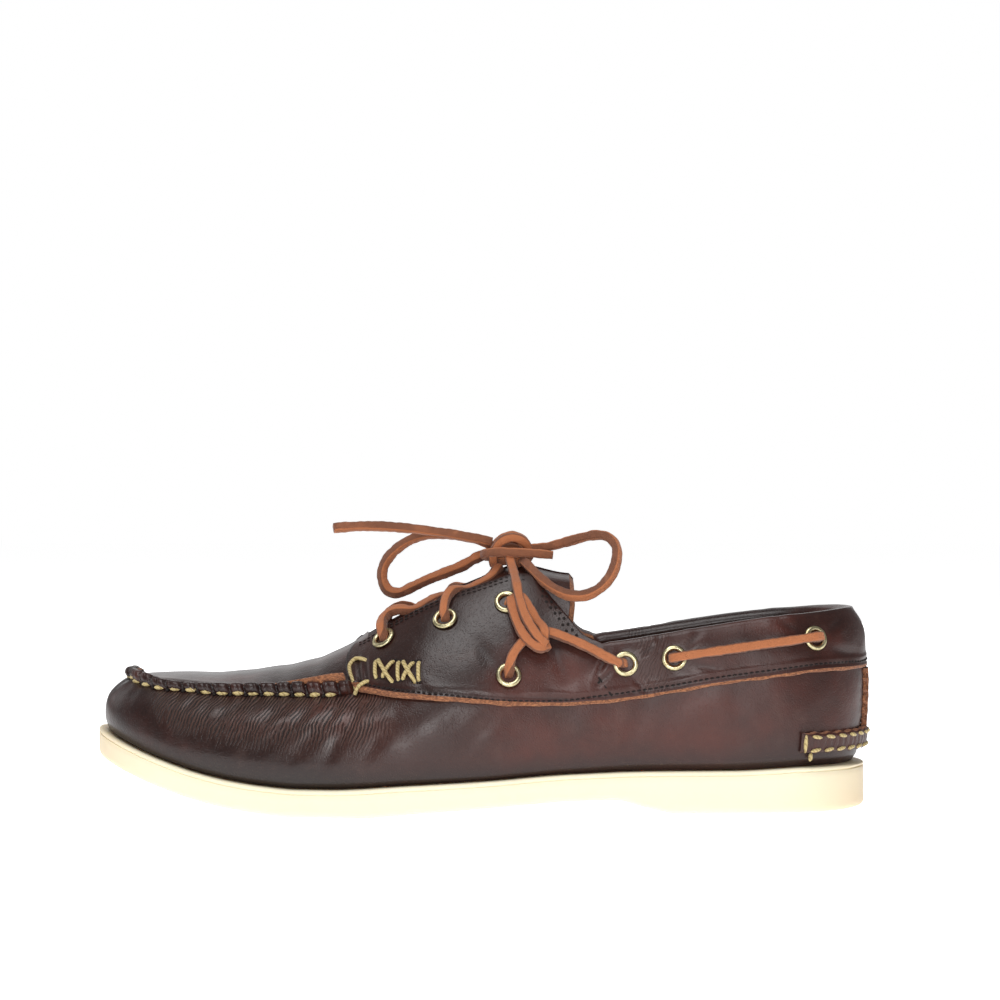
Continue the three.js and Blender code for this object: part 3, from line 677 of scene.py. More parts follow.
@dataclass(frozen=True)
class Rubber:
    """Matt cream moulded rubber, a little warmer at the toe and heel."""

    name: str = "cream_rubber"
    base: Colour = (241, 231, 202)
    warm: Colour = (236, 215, 182)

    def material(self) -> bpy.types.Material:
        """Builds the nodes."""
        g = Graph(self.name)
        where = g.node("ShaderNodeSeparateXYZ", None, (g.place(),))
        ends = g.output(where, 0).apply("ABSOLUTE").band(0.118, 0.15)
        low = g.output(where, 2).band(0.012, 0.0) * 0.25
        share = (ends * 0.75 + low).apply("ADD", 0.0, clamp=True)
        tone = g.mix(share, linear(*self.base), linear(*self.warm))
        tone = g.mix(g.noise(60, 5, 0.7).band(0.55, 0.8) * 0.18, tone, linear(226, 212, 182))
        speck = g.cells(900).band(0.0, 0.3)
        height = g.noise(700, 3, 0.6) * 0.6 + speck * 0.25
        rough = g.noise(90, 3, 0.5) * 0.12 + 0.5
        inputs = {
            "Base Color": tone,
            "Roughness": rough,
            "Normal": g.bump(height, 0.06),
            "Subsurface Weight": 0.12,
            "Subsurface Radius": (1.0, 0.8, 0.5),
            "Subsurface Scale": 0.003,
        }
        return g.surface(inputs)


@dataclass(frozen=True)
class Tread:
    """The same rubber cut with fine wavy slits, for the underside; the slits are painted darker as shade."""

    name: str = "tread_rubber"

    def material(self) -> bpy.types.Material:
        """Builds the nodes."""
        g = Graph(self.name)
        settings = {"wave_type": "BANDS", "bands_direction": "X"}
        inputs = {"Vector": g.place(), "Scale": 52.0, "Distortion": 2.4, "Detail": 0.0, "Detail Scale": 1.6}
        wave = g.output(g.node("ShaderNodeTexWave", settings, inputs), "Fac")
        slit = wave.band(0.12, 0.03)
        dirt = g.noise(45, 5, 0.7).band(0.5, 0.8)
        tone = g.mix(dirt * 0.35, linear(236, 224, 196), linear(190, 172, 138))
        # painted shade: the slits, which the bump lowers, drawn dark brown
        tone = g.mix(slit * 0.7, tone, linear(120, 102, 76))
        return g.surface({"Base Color": tone, "Roughness": 0.7, "Normal": g.bump(1.0 - slit, 0.5)})


@dataclass(frozen=True)
class Lining:
    """Plain tan lining leather, rubbed smooth."""

    name: str = "tan_lining"
    light: Colour = (196, 152, 108)
    dark: Colour = (158, 112, 74)

    def material(self) -> bpy.types.Material:
        """Builds the nodes."""
        g = Graph(self.name)
        tone = g.mix(g.noise(28, 4, 0.6).band(0.35, 0.7), linear(*self.light), linear(*self.dark))
        tone = g.mix(g.noise(400, 3, 0.6) * 0.25, tone, linear(120, 82, 54))
        height = g.cells(1100).band(0.0, 0.5) * 0.5 + g.noise(500, 3, 0.6) * 0.5
        rough = g.noise(50, 3, 0.5) * 0.2 + 0.6
        return g.surface({"Base Color": tone, "Roughness": rough, "Normal": g.bump(height, 0.12)})


@dataclass(frozen=True)
class Brass:
    """Aged brass, left bright on the flange's crown, with painted shade towards the flange's underside and
    down the bore.
    """

    name: str = "aged_brass"
    bright: Colour = (214, 204, 164)
    dull: Colour = (140, 122, 80)

    def material(self) -> bpy.types.Material:
        """Builds the nodes."""
        g = Graph(self.name)
        age = g.noise(420, 5, 0.7)
        rim = g.attribute("rim")
        tone = g.mix(age.band(0.42, 0.7) * 0.7, linear(*self.bright), linear(*self.dull))
        # painted shade: the brass darkened where the shine mask is low, under the flange and down the bore
        tone = g.mix((1.0 - rim) * 0.75, tone, linear(92, 70, 42))
        rough = age * 0.25 + 0.2
        normal = g.bump(g.noise(1500, 3, 0.6), 0.05)
        return g.surface({"Base Color": tone, "Metallic": 1.0, "Roughness": rough, "Normal": normal})


@dataclass(frozen=True)
class Rawhide:
    """Dry orange-tan lace leather with a smooth face and fuzzy cut sides."""

    name: str = "rawhide_lace"
    face: Colour = (174, 104, 62)
    cut: Colour = (116, 68, 42)

    def material(self) -> bpy.types.Material:
        """Builds the nodes."""
        g = Graph(self.name)
        along = g.place((1.0, 1.0, 1.0), uv=True)
        fuzz = g.noise(1.0, 4, 0.75, g.place((900.0, 2600.0, 1.0), uv=True))
        cloud = g.noise(60, 3, 0.6)
        side = g.attribute("cut")
        tone = g.mix(side.band(0.2, 0.8), linear(*self.face), linear(*self.cut))
        tone = g.mix(cloud.band(0.45, 0.75) * 0.3, tone, linear(188, 114, 72))
        tone = g.mix(fuzz.band(0.5, 0.8) * 0.5, tone, linear(104, 56, 36))
        tone = g.mix(g.noise(160, 2, 0.5, along).band(0.55, 0.8) * 0.3, tone, linear(196, 128, 86))
        normal = g.bump(fuzz + g.noise(900, 3, 0.7) * 0.6, 0.3)
        return g.surface({"Base Color": tone, "Roughness": 0.78, "Normal": normal, "Sheen Weight": 0.15})


@dataclass(frozen=True)
class Thread:
    """Waxed, twisted sewing thread."""

    name: str = "waxed_thread"
    light: Colour = (196, 176, 122)
    dark: Colour = (158, 136, 84)

    def material(self) -> bpy.types.Material:
        """Builds the nodes."""
        g = Graph(self.name)
        settings = {"wave_type": "BANDS", "bands_direction": "DIAGONAL"}
        inputs = {"Vector": g.place(), "Scale": 330.0, "Distortion": 0.6, "Detail": 1.0}
        ply = g.output(g.node("ShaderNodeTexWave", settings, inputs), "Fac")
        # painted shade: darker in the grooves between the plies, where the bump is lowest
        tone = g.mix(ply.band(0.0, 0.4), linear(*self.dark), linear(*self.light))
        tone = g.mix(g.noise(500, 2, 0.5).band(0.5, 0.8) * 0.3, tone, linear(92, 74, 42))
        inputs = {"Base Color": tone, "Roughness": 0.55, "Normal": g.bump(ply, 0.06), "Sheen Weight": 0.1}
        return g.surface(inputs)


@dataclass(frozen=True)
class Dark:
    """The dark inside of a hole, painted shade for holes that are not cut; the dark stitches also take this
    colour.
    """

    name: str = "hole_dark"

    def material(self) -> bpy.types.Material:
        """Builds the nodes."""
        g = Graph(self.name)
        tone = g.mix(g.noise(900, 2, 0.5), linear(16, 9, 8), linear(30, 18, 15))
        return g.surface({"Base Color": tone, "Roughness": 0.9})


@dataclass(frozen=True)
class Paper:
    """The pale studio floor."""

    name: str = "pale_floor"

    def material(self) -> bpy.types.Material:
        """Builds the nodes."""
        g = Graph(self.name)
        tone = g.mix(g.noise(3, 2, 0.5) * 0.06, linear(252, 252, 252), linear(240, 240, 240))
        inputs = {
            "Base Color": tone,
            "Roughness": 0.85,
            "Emission Color": (1.0, 1.0, 1.0, 1.0),
            "Emission Strength": 0.8,
        }
        return g.surface(inputs)


class Finish:
    """The shoe's materials, each made once."""

    LEATHER = Leather().material()
    EDGE = RawEdge().material()
    RUBBER = Rubber().material()
    TREAD = Tread().material()
    LINING = Lining().material()
    BRASS = Brass().material()
    RAWHIDE = Rawhide().material()
    THREAD = Thread().material()
    # painted shade for holes that are not cut, and the dark stitches' colour
    HOLE = Dark().material()
    FLOOR = Paper().material()


def grid(points: Array, weld: float = 0.0, flip: bool = False) -> bmesh.types.BMesh:
    """A mesh through rows of points.

    Args:
        points: The places in millimetres, as rows, columns and X, Y, Z.
        weld: The distance in millimetres under which points are joined, or 0.
        flip: Whether its faces are turned round.

    Returns:
        The mesh, with a map in metres along its columns and rows.
    """
    rows, columns = points.shape[:2]
    bm = bmesh.new()
    bmesh.ops.create_grid(bm, x_segments=columns - 1, y_segments=rows - 1, size=0.5)
    flat = points.reshape(-1, 3) * MM
    middle = points[rows // 2]
    run = np.concatenate([[0], np.cumsum(np.linalg.norm(np.diff(middle, axis=0), axis=1))]) * MM
    climb = np.linalg.norm(np.diff(points, axis=0), axis=2) * MM
    climb = np.vstack([np.zeros((1, columns)), np.cumsum(climb, axis=0)])
    maps = np.stack([np.broadcast_to(run, climb.shape), climb], axis=-1).reshape(-1, 2)
    layer = bm.loops.layers.uv.new("UVMap")
    for vert, place in zip(bm.verts, flat):
        vert.co = place
    bm.verts.index_update()
    for face in bm.faces:
        for loop in face.loops:
            loop[layer].uv = maps[loop.vert.index]
    if flip:
        bmesh.ops.reverse_faces(bm, faces=bm.faces)
    if weld:
        bmesh.ops.remove_doubles(bm, verts=bm.verts, dist=weld * MM)
        bmesh.ops.dissolve_degenerate(bm, edges=bm.edges, dist=0.0005 * MM)
    return bm


def spanned(ring: Array, parts: int) -> Array:
    """Works out rows of points from one side of a ring to the other.

    Args:
        ring: The ring, from the toe round to the toe.
        parts: How many strips there are.

    Returns:
        The rows.
    """
    half = len(ring) // 2 + 1
    share = np.linspace(0, 1, parts + 1)[:, None, None]
    return ring[:half][None] * (1 - share) + ring[::-1][:half][None] * share


def mark(bm: bmesh.types.BMesh, name: str, values: Array) -> None:
    """Writes one number to each point of a grid that isn't welded yet.

    Args:
        bm: The mesh.
        name: The attribute's name.
        values: The numbers, as the grid's rows and columns.
    """
    layer = bm.verts.layers.float.new(name)
    for vert, value in zip(bm.verts, np.ravel(values)):
        vert[layer] = float(value)


def piece(
    bm: bmesh.types.BMesh,
    name: str,
    materials: Sequence[bpy.types.Material],
    replaced: Sequence[str] = (),
    smooth: bool = True,
) -> bpy.types.Object:
    """Ends a mesh as a piece of the shoe.

    Args:
        bm: The mesh.
        name: The piece's name.
        materials: Its materials, in the order of its faces' numbers.
        replaced: The nodes that it stands for.
        smooth: Whether its faces are shaded smoothly.

    Returns:
        The piece.
    """
    for face in bm.faces:
        face.smooth = smooth
    mesh = bpy.data.meshes.new(name)
    bm.to_mesh(mesh)
    bm.free()
    made = bpy.data.objects.new(name, mesh)
    bpy.context.scene.collection.objects.link(made)
    for material in materials:
        mesh.materials.append(material)
    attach(made, "root")
    if replaced:
        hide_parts(*replaced)
    LOG.info("%s: %d faces", name, len(mesh.polygons))
    return made


def joined(parts: Sequence[bmesh.types.BMesh]) -> bmesh.types.BMesh:
    """Joins several meshes.

    Args:
        parts: The meshes, which are used up.

    Returns:
        The one mesh.
    """
    whole = bmesh.new()
    for part in parts:
        holder = bpy.data.meshes.new("part")
        part.to_mesh(holder)
        part.free()
        whole.from_mesh(holder)
        bpy.data.meshes.remove(holder)
    return whole


def placed(point: Array, along: Array, normal: Array, size: Sequence[float], slant: float = 0.0) -> Matrix:
    """A matrix that sets a unit shape on a surface.

    Args:
        point: Its centre in millimetres.
        along: The direction of its length.
        normal: The surface's normal.
        size: Its length, width and height in millimetres.
        slant: How far it is turned about the normal, in radians.

    Returns:
        The matrix, in metres.
    """
    normal = Vector(normal).normalized()
    along = Vector(along)
    along = (along - normal * along.dot(normal)).normalized()
    turned = Matrix.Rotation(slant, 3, normal) @ along
    across = normal.cross(turned)
    turn = Matrix((turned, across, normal)).transposed().to_4x4()
    return Matrix.Translation(Vector(point) * MM) @ turn @ Matrix.Diagonal((*(s * MM for s in size), 1.0))


def stitches(marks: Sequence[Matrix], segments: int = 8) -> bmesh.types.BMesh:
    """Short rounded stitches, one at each place."""
    bm = bmesh.new()
    for matrix in marks:
        bmesh.ops.create_uvsphere(bm, u_segments=segments, v_segments=6, radius=0.5, matrix=matrix)
    return bm


def pricks(marks: Sequence[Matrix]) -> bmesh.types.BMesh:
    """Small round dishes, one at each place."""
    bm = bmesh.new()
    for matrix in marks:
        bmesh.ops.create_circle(bm, cap_ends=True, segments=8, radius=0.5, matrix=matrix)
    return bm


@dataclass(frozen=True)
class Strand:
    """A lace or thread along a line. corner is 1 for a square section and 0 for a round one."""

    width: float
    corner: float = 0.8
    sides: int = 12
    step: float = 0.55
    uneven: float = 0.1

    def mesh(
        self, points: Sequence[Sequence[float]] | Array, facing: Array | None = None, twist: float = 0.0
    ) -> bmesh.types.BMesh:
        """Sweeps the section along a smooth line.

        Args:
            points: The points that the line passes.
            facing: The direction that the flat side faces at each point, or None.
            twist: The whole turn along the line, in radians.

        Returns:
            The closed mesh.
        """
        knots = np.array(points, float)
        extra = np.zeros_like(knots) if facing is None else np.array(facing, float)
        line = smooth_path(np.hstack([knots, extra * 3]), self.step)
        places, hints = line[:, :3], line[:, 3:]
        tangent = unit(np.gradient(places, axis=0))
        count = len(places)
        first = hints[0] if facing is not None else UP + 0.01
        frames = []
        for i in range(count):
            hint = hints[i] if facing is not None else first
            normal = hint - tangent[i] * (hint @ tangent[i])
            normal = normal / max(np.linalg.norm(normal), 1e-9)
            frames.append(normal)
            first = normal
        normal = np.array(frames)
        across = np.cross(tangent, normal)
        angle = 2 * np.pi * np.arange(self.sides + 1) / self.sides + np.pi / 4
        spin = twist * np.linspace(0, 1, count)[None, :]
        power = 1 - 0.72 * self.corner
        shape = self.width / 2 * (1 + 0.12 * self.corner)
        out = np.sign(np.cos(angle)) * np.abs(np.cos(angle)) ** power
        side = np.sign(np.sin(angle)) * np.abs(np.sin(angle)) ** power
        swell, fuzz = ripple(places, 7.0)[None, :], ripple(places + 40, 2.6)[None, :]
        wobble = 1 + self.uneven * swell * 0.6 + self.uneven * fuzz * 0.5
        u = (out[:, None] * np.cos(spin) - side[:, None] * np.sin(spin)) * shape * wobble
        v = (out[:, None] * np.sin(spin) + side[:, None] * np.cos(spin)) * shape * wobble
        skin = places[None] + normal[None] * u[..., None] + across[None] * v[..., None]
        bm = grid(skin)
        cut = (np.abs(side) > np.abs(out))[:, None] * 1.0
        mark(bm, "cut", np.broadcast_to(cut, (len(angle), count)))
        bmesh.ops.remove_doubles(bm, verts=bm.verts, dist=0.005 * MM)
        rim = [e for e in bm.edges if e.is_boundary]
        bmesh.ops.holes_fill(bm, edges=rim, sides=0)
        bmesh.ops.recalc_face_normals(bm, faces=bm.faces)
        return bm


@dataclass(frozen=True)
class Outsole:
    """The moulded sole, with a rounded foot, a fine ledge under its rim, an arch and a slanted breast."""

    turns: int = 400
    arch_gap: float = 5.2
    arch_rows: Rows = (
        (0.36, 0.0), (0.42, 0.3), (0.49, 0.54), (0.56, 0.8), (0.62, 0.98), (0.67, 1.0), (0.71, 0.45),
        (0.742, 0.0),
    )
    foot_rows: Rows = ((1.3, 0.0), (0.82, 0.1), (0.42, 0.4), (0.14, 0.95), (0.0, 1.7), (0.0, 2.8))
    rim_rows: Rows = (
        (0.0, 4.2), (0.0, 1.95), (0.08, 1.8), (0.42, 1.62), (0.42, 1.5), (0.1, 1.3), (0.0, 1.05),
        (0.05, 0.55), (0.35, 0.15), (0.9, 0.0), (2.6, 0.0), (5.0, 0.0),
    )

    def base(self, x: Array) -> Array:
        """Height of the underside with its arch."""
        at = LAST.at_of(x)
        return np.maximum(LAST.underside(at), Table(self.arch_rows, 1)(at) * self.arch_gap)

    def ring(self, deep: float, height: Callable[[Array], Array]) -> Array:
        """Works out one ring round the sole.

        Args:
            deep: How far it lies in from the sole's edge.
            height: Its height at each X.

        Returns:
            The ring's points.
        """
        turn = np.arange(self.turns + 1) / self.turns
        back = 1 + 1.6 * smoothstep(0.955, 1.0, LAST.at_of(LAST.edge(turn)[:, 0])) if deep > 0.1 else 1.0
        flat = LAST.edge(turn) + LAST.inward(turn) * np.asarray(deep * back).reshape(-1, 1)
        return np.column_stack([flat, height(flat[:, 0])])

    def across(self, ring: Array, height: Callable[[Array], Array], parts: int = 24) -> Array:
        """Works out rows of points from one side of a ring to the other.

        Args:
            ring: The ring.
            height: The height at each X.
            parts: How many strips there are.

        Returns:
            The rows.
        """
        rows = spanned(ring, parts)
        rows[1:-1, :, 2] = height(rows[1:-1, :, 0])
        return rows

    def build(self) -> None:
        """Builds the sole."""
        rings = [self.ring(d, lambda x, u=u: self.base(x) + u) for d, u in self.foot_rows]
        rings += [self.ring(d, lambda x, w=w: LAST.sole_top(LAST.at_of(x)) - w) for d, w in self.rim_rows]
        skin = grid(np.array(rings))
        under = grid(self.across(rings[0], self.base), flip=True)
        top = grid(self.across(rings[-1], lambda x: LAST.sole_top(LAST.at_of(x))))
        for face in under.faces:
            face.material_index = 1
        whole = joined([skin, under, top])
        bmesh.ops.remove_doubles(whole, verts=whole.verts, dist=0.01 * MM)
        bmesh.ops.dissolve_degenerate(whole, edges=whole.edges, dist=0.001 * MM)
        made = piece(whole, "sole_body", [Finish.RUBBER, Finish.TREAD], ["outsole"])
        made.modifiers.new("edges", "EDGE_SPLIT").split_angle = math.radians(50)


@dataclass(frozen=True)
class Insole:
    """The sock inside the shoe, slightly dished."""

    inset: float = 3.0
    thickness: float = 3.0
    lift: float = 0.3
    turns: int = 200

    def build(self) -> None:
        """Builds the sock."""
        turn = np.arange(self.turns + 1) / self.turns
        rings = []
        for inward, up in ((0.0, 0.0), (0.0, 2.4), (0.5, 2.9), (1.4, 3.0)):
            at = LAST.at_of(LAST.edge(turn)[:, 0])
            deep = LAST.section(1, at) * LAST.ball_width + self.inset + inward
            flat = LAST.edge(turn) + LAST.inward(turn) * deep[:, None]
            rings.append(np.column_stack([flat, LAST.sole_top(LAST.at_of(flat[:, 0])) + self.lift + up]))
        under, top = grid(spanned(rings[0], 16), flip=True), grid(spanned(rings[-1], 16))
        whole = joined([grid(np.array(rings)), under, top])
        bmesh.ops.remove_doubles(whole, verts=whole.verts, dist=0.01 * MM)
        bmesh.ops.dissolve_degenerate(whole, edges=whole.edges, dist=0.001 * MM)
        piece(whole, "sock", [Finish.LINING], ["insole"])


@dataclass(frozen=True)
class Vamp:
    """The wall round the shoe, the plug on top, the gathered seam between them and the tongue."""

    pitch: float = 6.0
    seam_end: float = 0.348
    sewn_height: Rows = (
        (0.03, 48.9), (0.048, 48.2), (0.056, 46.8), (0.069, 46.1), (0.086, 45.2), (0.104, 44.4),
        (0.124, 44.2), (0.1435, 43.7), (0.162, 43.2), (0.18, 43.0), (0.29, 43.0), (0.33, 43.4),
        (0.36, 43.9),
    )
    ridge_top: Rows = (
        (0.03, 51.8), (0.048, 51.4), (0.069, 50.7), (0.084, 49.7), (0.102, 48.3), (0.122, 47.6),
        (0.135, 47.4), (0.17, 47.4), (0.21, 47.6), (0.26, 48.1), (0.298, 48.4), (0.33, 48.9),
        (0.36, 49.0),
    )
    far_top: Rows = ((0.03, 50.6), (0.05, 48.7), (0.075, 46.7), (0.1, 46.0), (0.36, 46.0))
    wall_columns: int = 620
    wall_rows: int = 44
    creases: tuple[Crease, ...] = (
        Crease((-52.0, 41.0), (-70.0, 21.0), 2.2, 0.55),
        Crease((-60.0, 41.0), (-82.0, 24.0), 2.0, 0.5),
        Crease((-44.0, 43.0), (-58.0, 19.0), 2.4, 0.6),
        Crease((-72.0, 40.5), (-95.0, 25.0), 1.8, 0.4),
        Crease((-30.0, 40.0), (-44.0, 20.0), 2.4, 0.4),
        Crease((-88.0, 41.0), (-108.0, 29.0), 1.6, 0.3),
        Crease((-104.0, 43.0), (-119.0, 33.0), 1.5, 0.25),
        Crease((6.0, 39.0), (-10.0, 22.0), 3.0, 0.35),
        Crease((60.0, 40.0), (52.0, 24.0), 3.5, 0.3),
        Crease((92.0, 44.0), (97.0, 26.0), 3.2, 0.3),
    )

    def seam_line(self) -> tuple[Array, Array]:
        """The seam from the band on the inner side round the toe to the band on the outer side.

        Returns:
            The turn and the distance along the seam of each point, the distance counted from the toe.
        """
        end = math.acos(1 - 2 * self.seam_end) / (2 * math.pi)
        turn = np.linspace(-end, end, 4001)
        line = LAST.point(turn, np.full_like(turn, 0.5))
        run = np.concatenate([[0], np.cumsum(np.linalg.norm(np.diff(line, axis=0), axis=1))])
        return turn, run - np.interp(0.0, turn, run)

    def seam_turns(self, step: float) -> tuple[Array, Array]:
        """Divides the seam evenly.

        Args:
            step: The distance between two places.

        Returns:
            The places' turns and their distances from the toe.
        """
        turn, run = self.seam_line()
        count = int(round((run[-1] - run[0]) / step))
        places = np.linspace(run[0], run[-1], count + 1)
        return np.interp(places, run, turn), places

    def build_wall(self) -> None:
        """Builds the wall from the sole to the seam, with gathers under the stitches and creases."""
        line, run = self.seam_line()
        base = np.linspace(0, 1, self.wall_columns + 1)
        turn = np.broadcast_to(base, (self.wall_rows + 1, len(base)))
        level = np.broadcast_to(np.linspace(0.002, 0.505, self.wall_rows + 1)[:, None], turn.shape)
        points, normal, _, _ = LAST.axes(turn, level)
        signed = np.where(base > 0.5, base - 1, base)
        along = np.interp(signed, line, run)
        seamed = smoothstep(self.seam_end + 0.04, self.seam_end - 0.02, LAST.at_of(points[..., 0]))
        below = (0.5 - level) / 0.5
        gather = np.cos(2 * np.pi * along / self.pitch)[None] * np.exp(-np.maximum(below, 0) / 0.16) * seamed
        relief = 0.34 * gather + 0.28 * ripple(points, 46.0) * smoothstep(0.0, 0.12, level)
        relief += 0.12 * ripple(points, 17.0) * smoothstep(0.0, 0.1, level)
        for crease in self.creases:
            relief += crease.relief(points)
        relief -= 1.4 * smoothstep(0.035, 0.0, level)
        skin = points + normal * relief[..., None]
        bm = grid(skin)
        at = LAST.at_of(points[..., 0])
        dense = smoothstep(0.05, 0.12, at) * smoothstep(0.43, 0.34, at)
        mark(bm, "crease", dense * smoothstep(0.12, 0.36, level))
        shade = smoothstep(0.17, 0.0, level) * 0.85 + smoothstep(0.46, 0.5, level) * seamed * 0.5
        mark(bm, "shade", np.clip(shade + 0.65 * smoothstep(0.1, 0.03, at), 0, 1))
        bmesh.ops.remove_doubles(bm, verts=bm.verts, dist=0.01 * MM)
        piece(bm, "vamp_wall", [Finish.LEATHER], ["upper"])

    def build_plug(self) -> None:
        """Builds the plug on top of the toes."""
        end = math.acos(1 - 2 * (self.seam_end + 0.006)) / (2 * math.pi)
        turn = np.linspace(-end, end, 301)
        rows = 48
        level = np.linspace(0.5, 1.0, rows + 1)[:, None] + np.zeros((1, len(turn)))
        turn = np.broadcast_to(turn, level.shape)
        points = LAST.point(turn, level)
        rise = 0.5 * smoothstep(0.5, 0.6, level) + 0.25 * ripple(points, 40.0) * smoothstep(0.52, 0.7, level)
        for place, width, depth in ((-62.0, 3.0, 0.35), (-74.0, 3.4, 0.3), (-88.0, 4.0, 0.2)):
            rise -= depth * np.exp(-(((points[..., 0] - place - points[..., 1] * 0.12) / width) ** 2))
        points[..., 2] += rise
        bm = grid(points)
        mark(bm, "crease", np.full(turn.shape, 0.12))
        band = np.exp(-(((points[..., 0] + 49.0) / 1.5) ** 2)) * smoothstep(0.92, 0.85, level)
        mark(bm, "shade", np.clip(smoothstep(0.53, 0.5, level) * 0.8 + band * 0.9, 0, 1))
        bmesh.ops.remove_doubles(bm, verts=bm.verts, dist=0.02 * MM)
        bmesh.ops.dissolve_degenerate(bm, edges=bm.edges, dist=0.001 * MM)
        bmesh.ops.holes_fill(bm, edges=[e for e in bm.edges if e.is_boundary], sides=4)
        piece(bm, "plug", [Finish.LEATHER])

    def ridge_base(self, turn: Array, run: Array) -> tuple[Array, Array, Array, Array]:
        """Works out where the ridge stands.

        Args:
            turn: The places round the shoe.
            run: Their distances along the seam.

        Returns:
            The ridge's foot on the wall, its height, how tall the ridge is, and 1 where it is on the inner
            side.
        """
        at = LAST.at_of(LAST.point(turn, np.full_like(turn, 0.5))[:, 0])
        sunk = smoothstep(-4.0, -14.0, run)
        top = Table(self.ridge_top, 1)(at) * (1 - sunk) + Table(self.far_top, 1)(at) * sunk
        foot = np.minimum(Table(self.sewn_height, 1)(at), top - 2.6)
        level = np.minimum(LAST.level_at(turn, foot), 0.5)
        base = LAST.point(turn, level)
        foot = base[:, 2]
        return base, foot, top - foot, sunk

    def build_ridge(self) -> None:
        """Builds the gathered ridge, its stitches and the plug's cut edge behind it."""
        turn, run = self.seam_turns(0.33)
        profile = (
            (-0.9, -0.1, 0.0), (-0.1, 0.04, 0.0), (0.5, 0.14, 0.2), (0.95, 0.3, 0.7), (1.15, 0.48, 1.0),
            (1.0, 0.68, 1.0), (0.6, 0.86, 1.0), (-0.1, 0.97, 1.0), (-0.9, 1.0, 1.0), (-1.7, 0.93, 0.8),
            (-2.4, 0.75, 0.5), (-2.9, 0.5, 0.3), (-3.2, 0.2, 0.0), (-3.4, -0.1, 0.0),
        )
        base, foot, tall, _ = self.ridge_base(turn, run)
        out = -LAST.inward(turn)
        shown = smoothstep(0.345, 0.33, LAST.at_of(base[:, 0]))
        rows, shades = [], []
        for outward, up, share in profile:
            phase = run / self.pitch + 0.05 * np.sin(run * 0.31) + 0.3 * (up - 0.3) * share * np.sign(run)
            number = np.round(phase)
            away = np.abs(phase - number)
            valley = np.exp(-(((0.5 - away) / 0.09) ** 2))
            fold = np.exp(-(((phase - number - 0.16 * np.sin(number * 1.9)) / 0.055) ** 2))
            hump = np.cos(np.pi * away) ** 0.8
            lean = 0.35 * np.sin(number * 2.4)
            shades.append(valley * 0.95 + fold * 0.45 + (0.5 if up < 0.1 else 0.0))
            push = outward + share * (0.6 * hump - 1.5 * valley - 0.6 * fold + lean)
            push = push * shown - 1.6 * (1 - shown)
            row = base.copy()
            row[:, :2] += out * push[:, None]
            row[:, 2] = foot + tall * up + share * (0.25 * hump - 0.7 * valley + 0.25 * lean) * (up > 0.4)
            rows.append(row)
        bm = grid(np.array(rows))
        mark(bm, "crease", np.full((len(profile), len(turn)), 0.25))
        mark(bm, "shade", np.clip(np.array(shades), 0, 1))
        piece(bm, "gathered_ridge", [Finish.LEATHER])
        self.build_stitches(turn, run)
        self.build_cut_edge(turn, run)

    def build_stitches(self, turn: Array, run: Array) -> None:
        """Sews the seam: one slanted stitch to each gather and beside it a small dark mark, painted shade for
        a hole.

        Args:
            turn: Places along the seam.
            run: Their distances along it.
        """
        last = int(abs(run[0]) / self.pitch)
        sewn, holes = [], []
        for number in range(-2 * last, 2 * last + 1):
            place = np.array([number * self.pitch / 2])
            here = np.interp(place, run, turn)
            base, foot, _, _ = self.ridge_base(here, place)
            if LAST.at_of(base[0, 0]) > 0.328:
                continue
            level = np.minimum(LAST.level_at(here, foot), 0.5)
            point, normal, along, _ = (v[0] for v in LAST.axes(here, level))
            if number % 2:
                # the holes are dark rounded marks: painted shade, no hole is cut
                holes.append(placed(point + normal * 0.35, along, normal, (1.5, 2.0, 1.3)))
            else:
                slant = 0.22 if here[0] > 0 else -0.22
                sewn.append(placed(point + normal * 0.95, along, normal, (4.6, 1.75, 1.9), slant))
        piece(stitches(sewn, 10), "seam_stitches", [Finish.THREAD])
        piece(stitches(holes, 8), "seam_holes", [Finish.HOLE])

    def build_cut_edge(self, turn: Array, run: Array) -> None:
        """Builds the plug's cut edge, which rises behind the ridge towards the band.

        Args:
            turn: Places along the seam.
            run: Their distances along it.
        """
        base, foot, tall, sunk = self.ridge_base(turn, run)
        out = -LAST.inward(turn)
        grow = smoothstep(0.215, 0.33, LAST.at_of(base[:, 0])) * (1 - sunk)
        lift = grow * (2.9 + 0.25 * ripple(base, 9.0)) - 0.9 * (1 - grow) - 0.8 * sunk
        lift -= 5.0 * smoothstep(0.326, 0.334, LAST.at_of(base[:, 0]))
        rows = []
        lip = ((-1.2, -0.6), (-1.2, -0.2), (-1.35, 0.0), (-2.1, 0.15), (-2.9, -0.1), (-3.4, -1.6))
        for outward, up in lip:
            row = base.copy()
            row[:, :2] += out * outward
            row[:, 2] = foot + tall + up + lift * (up > -0.5)
            rows.append(row)
        piece(grid(np.array(rows)), "plug_edge", [Finish.EDGE])

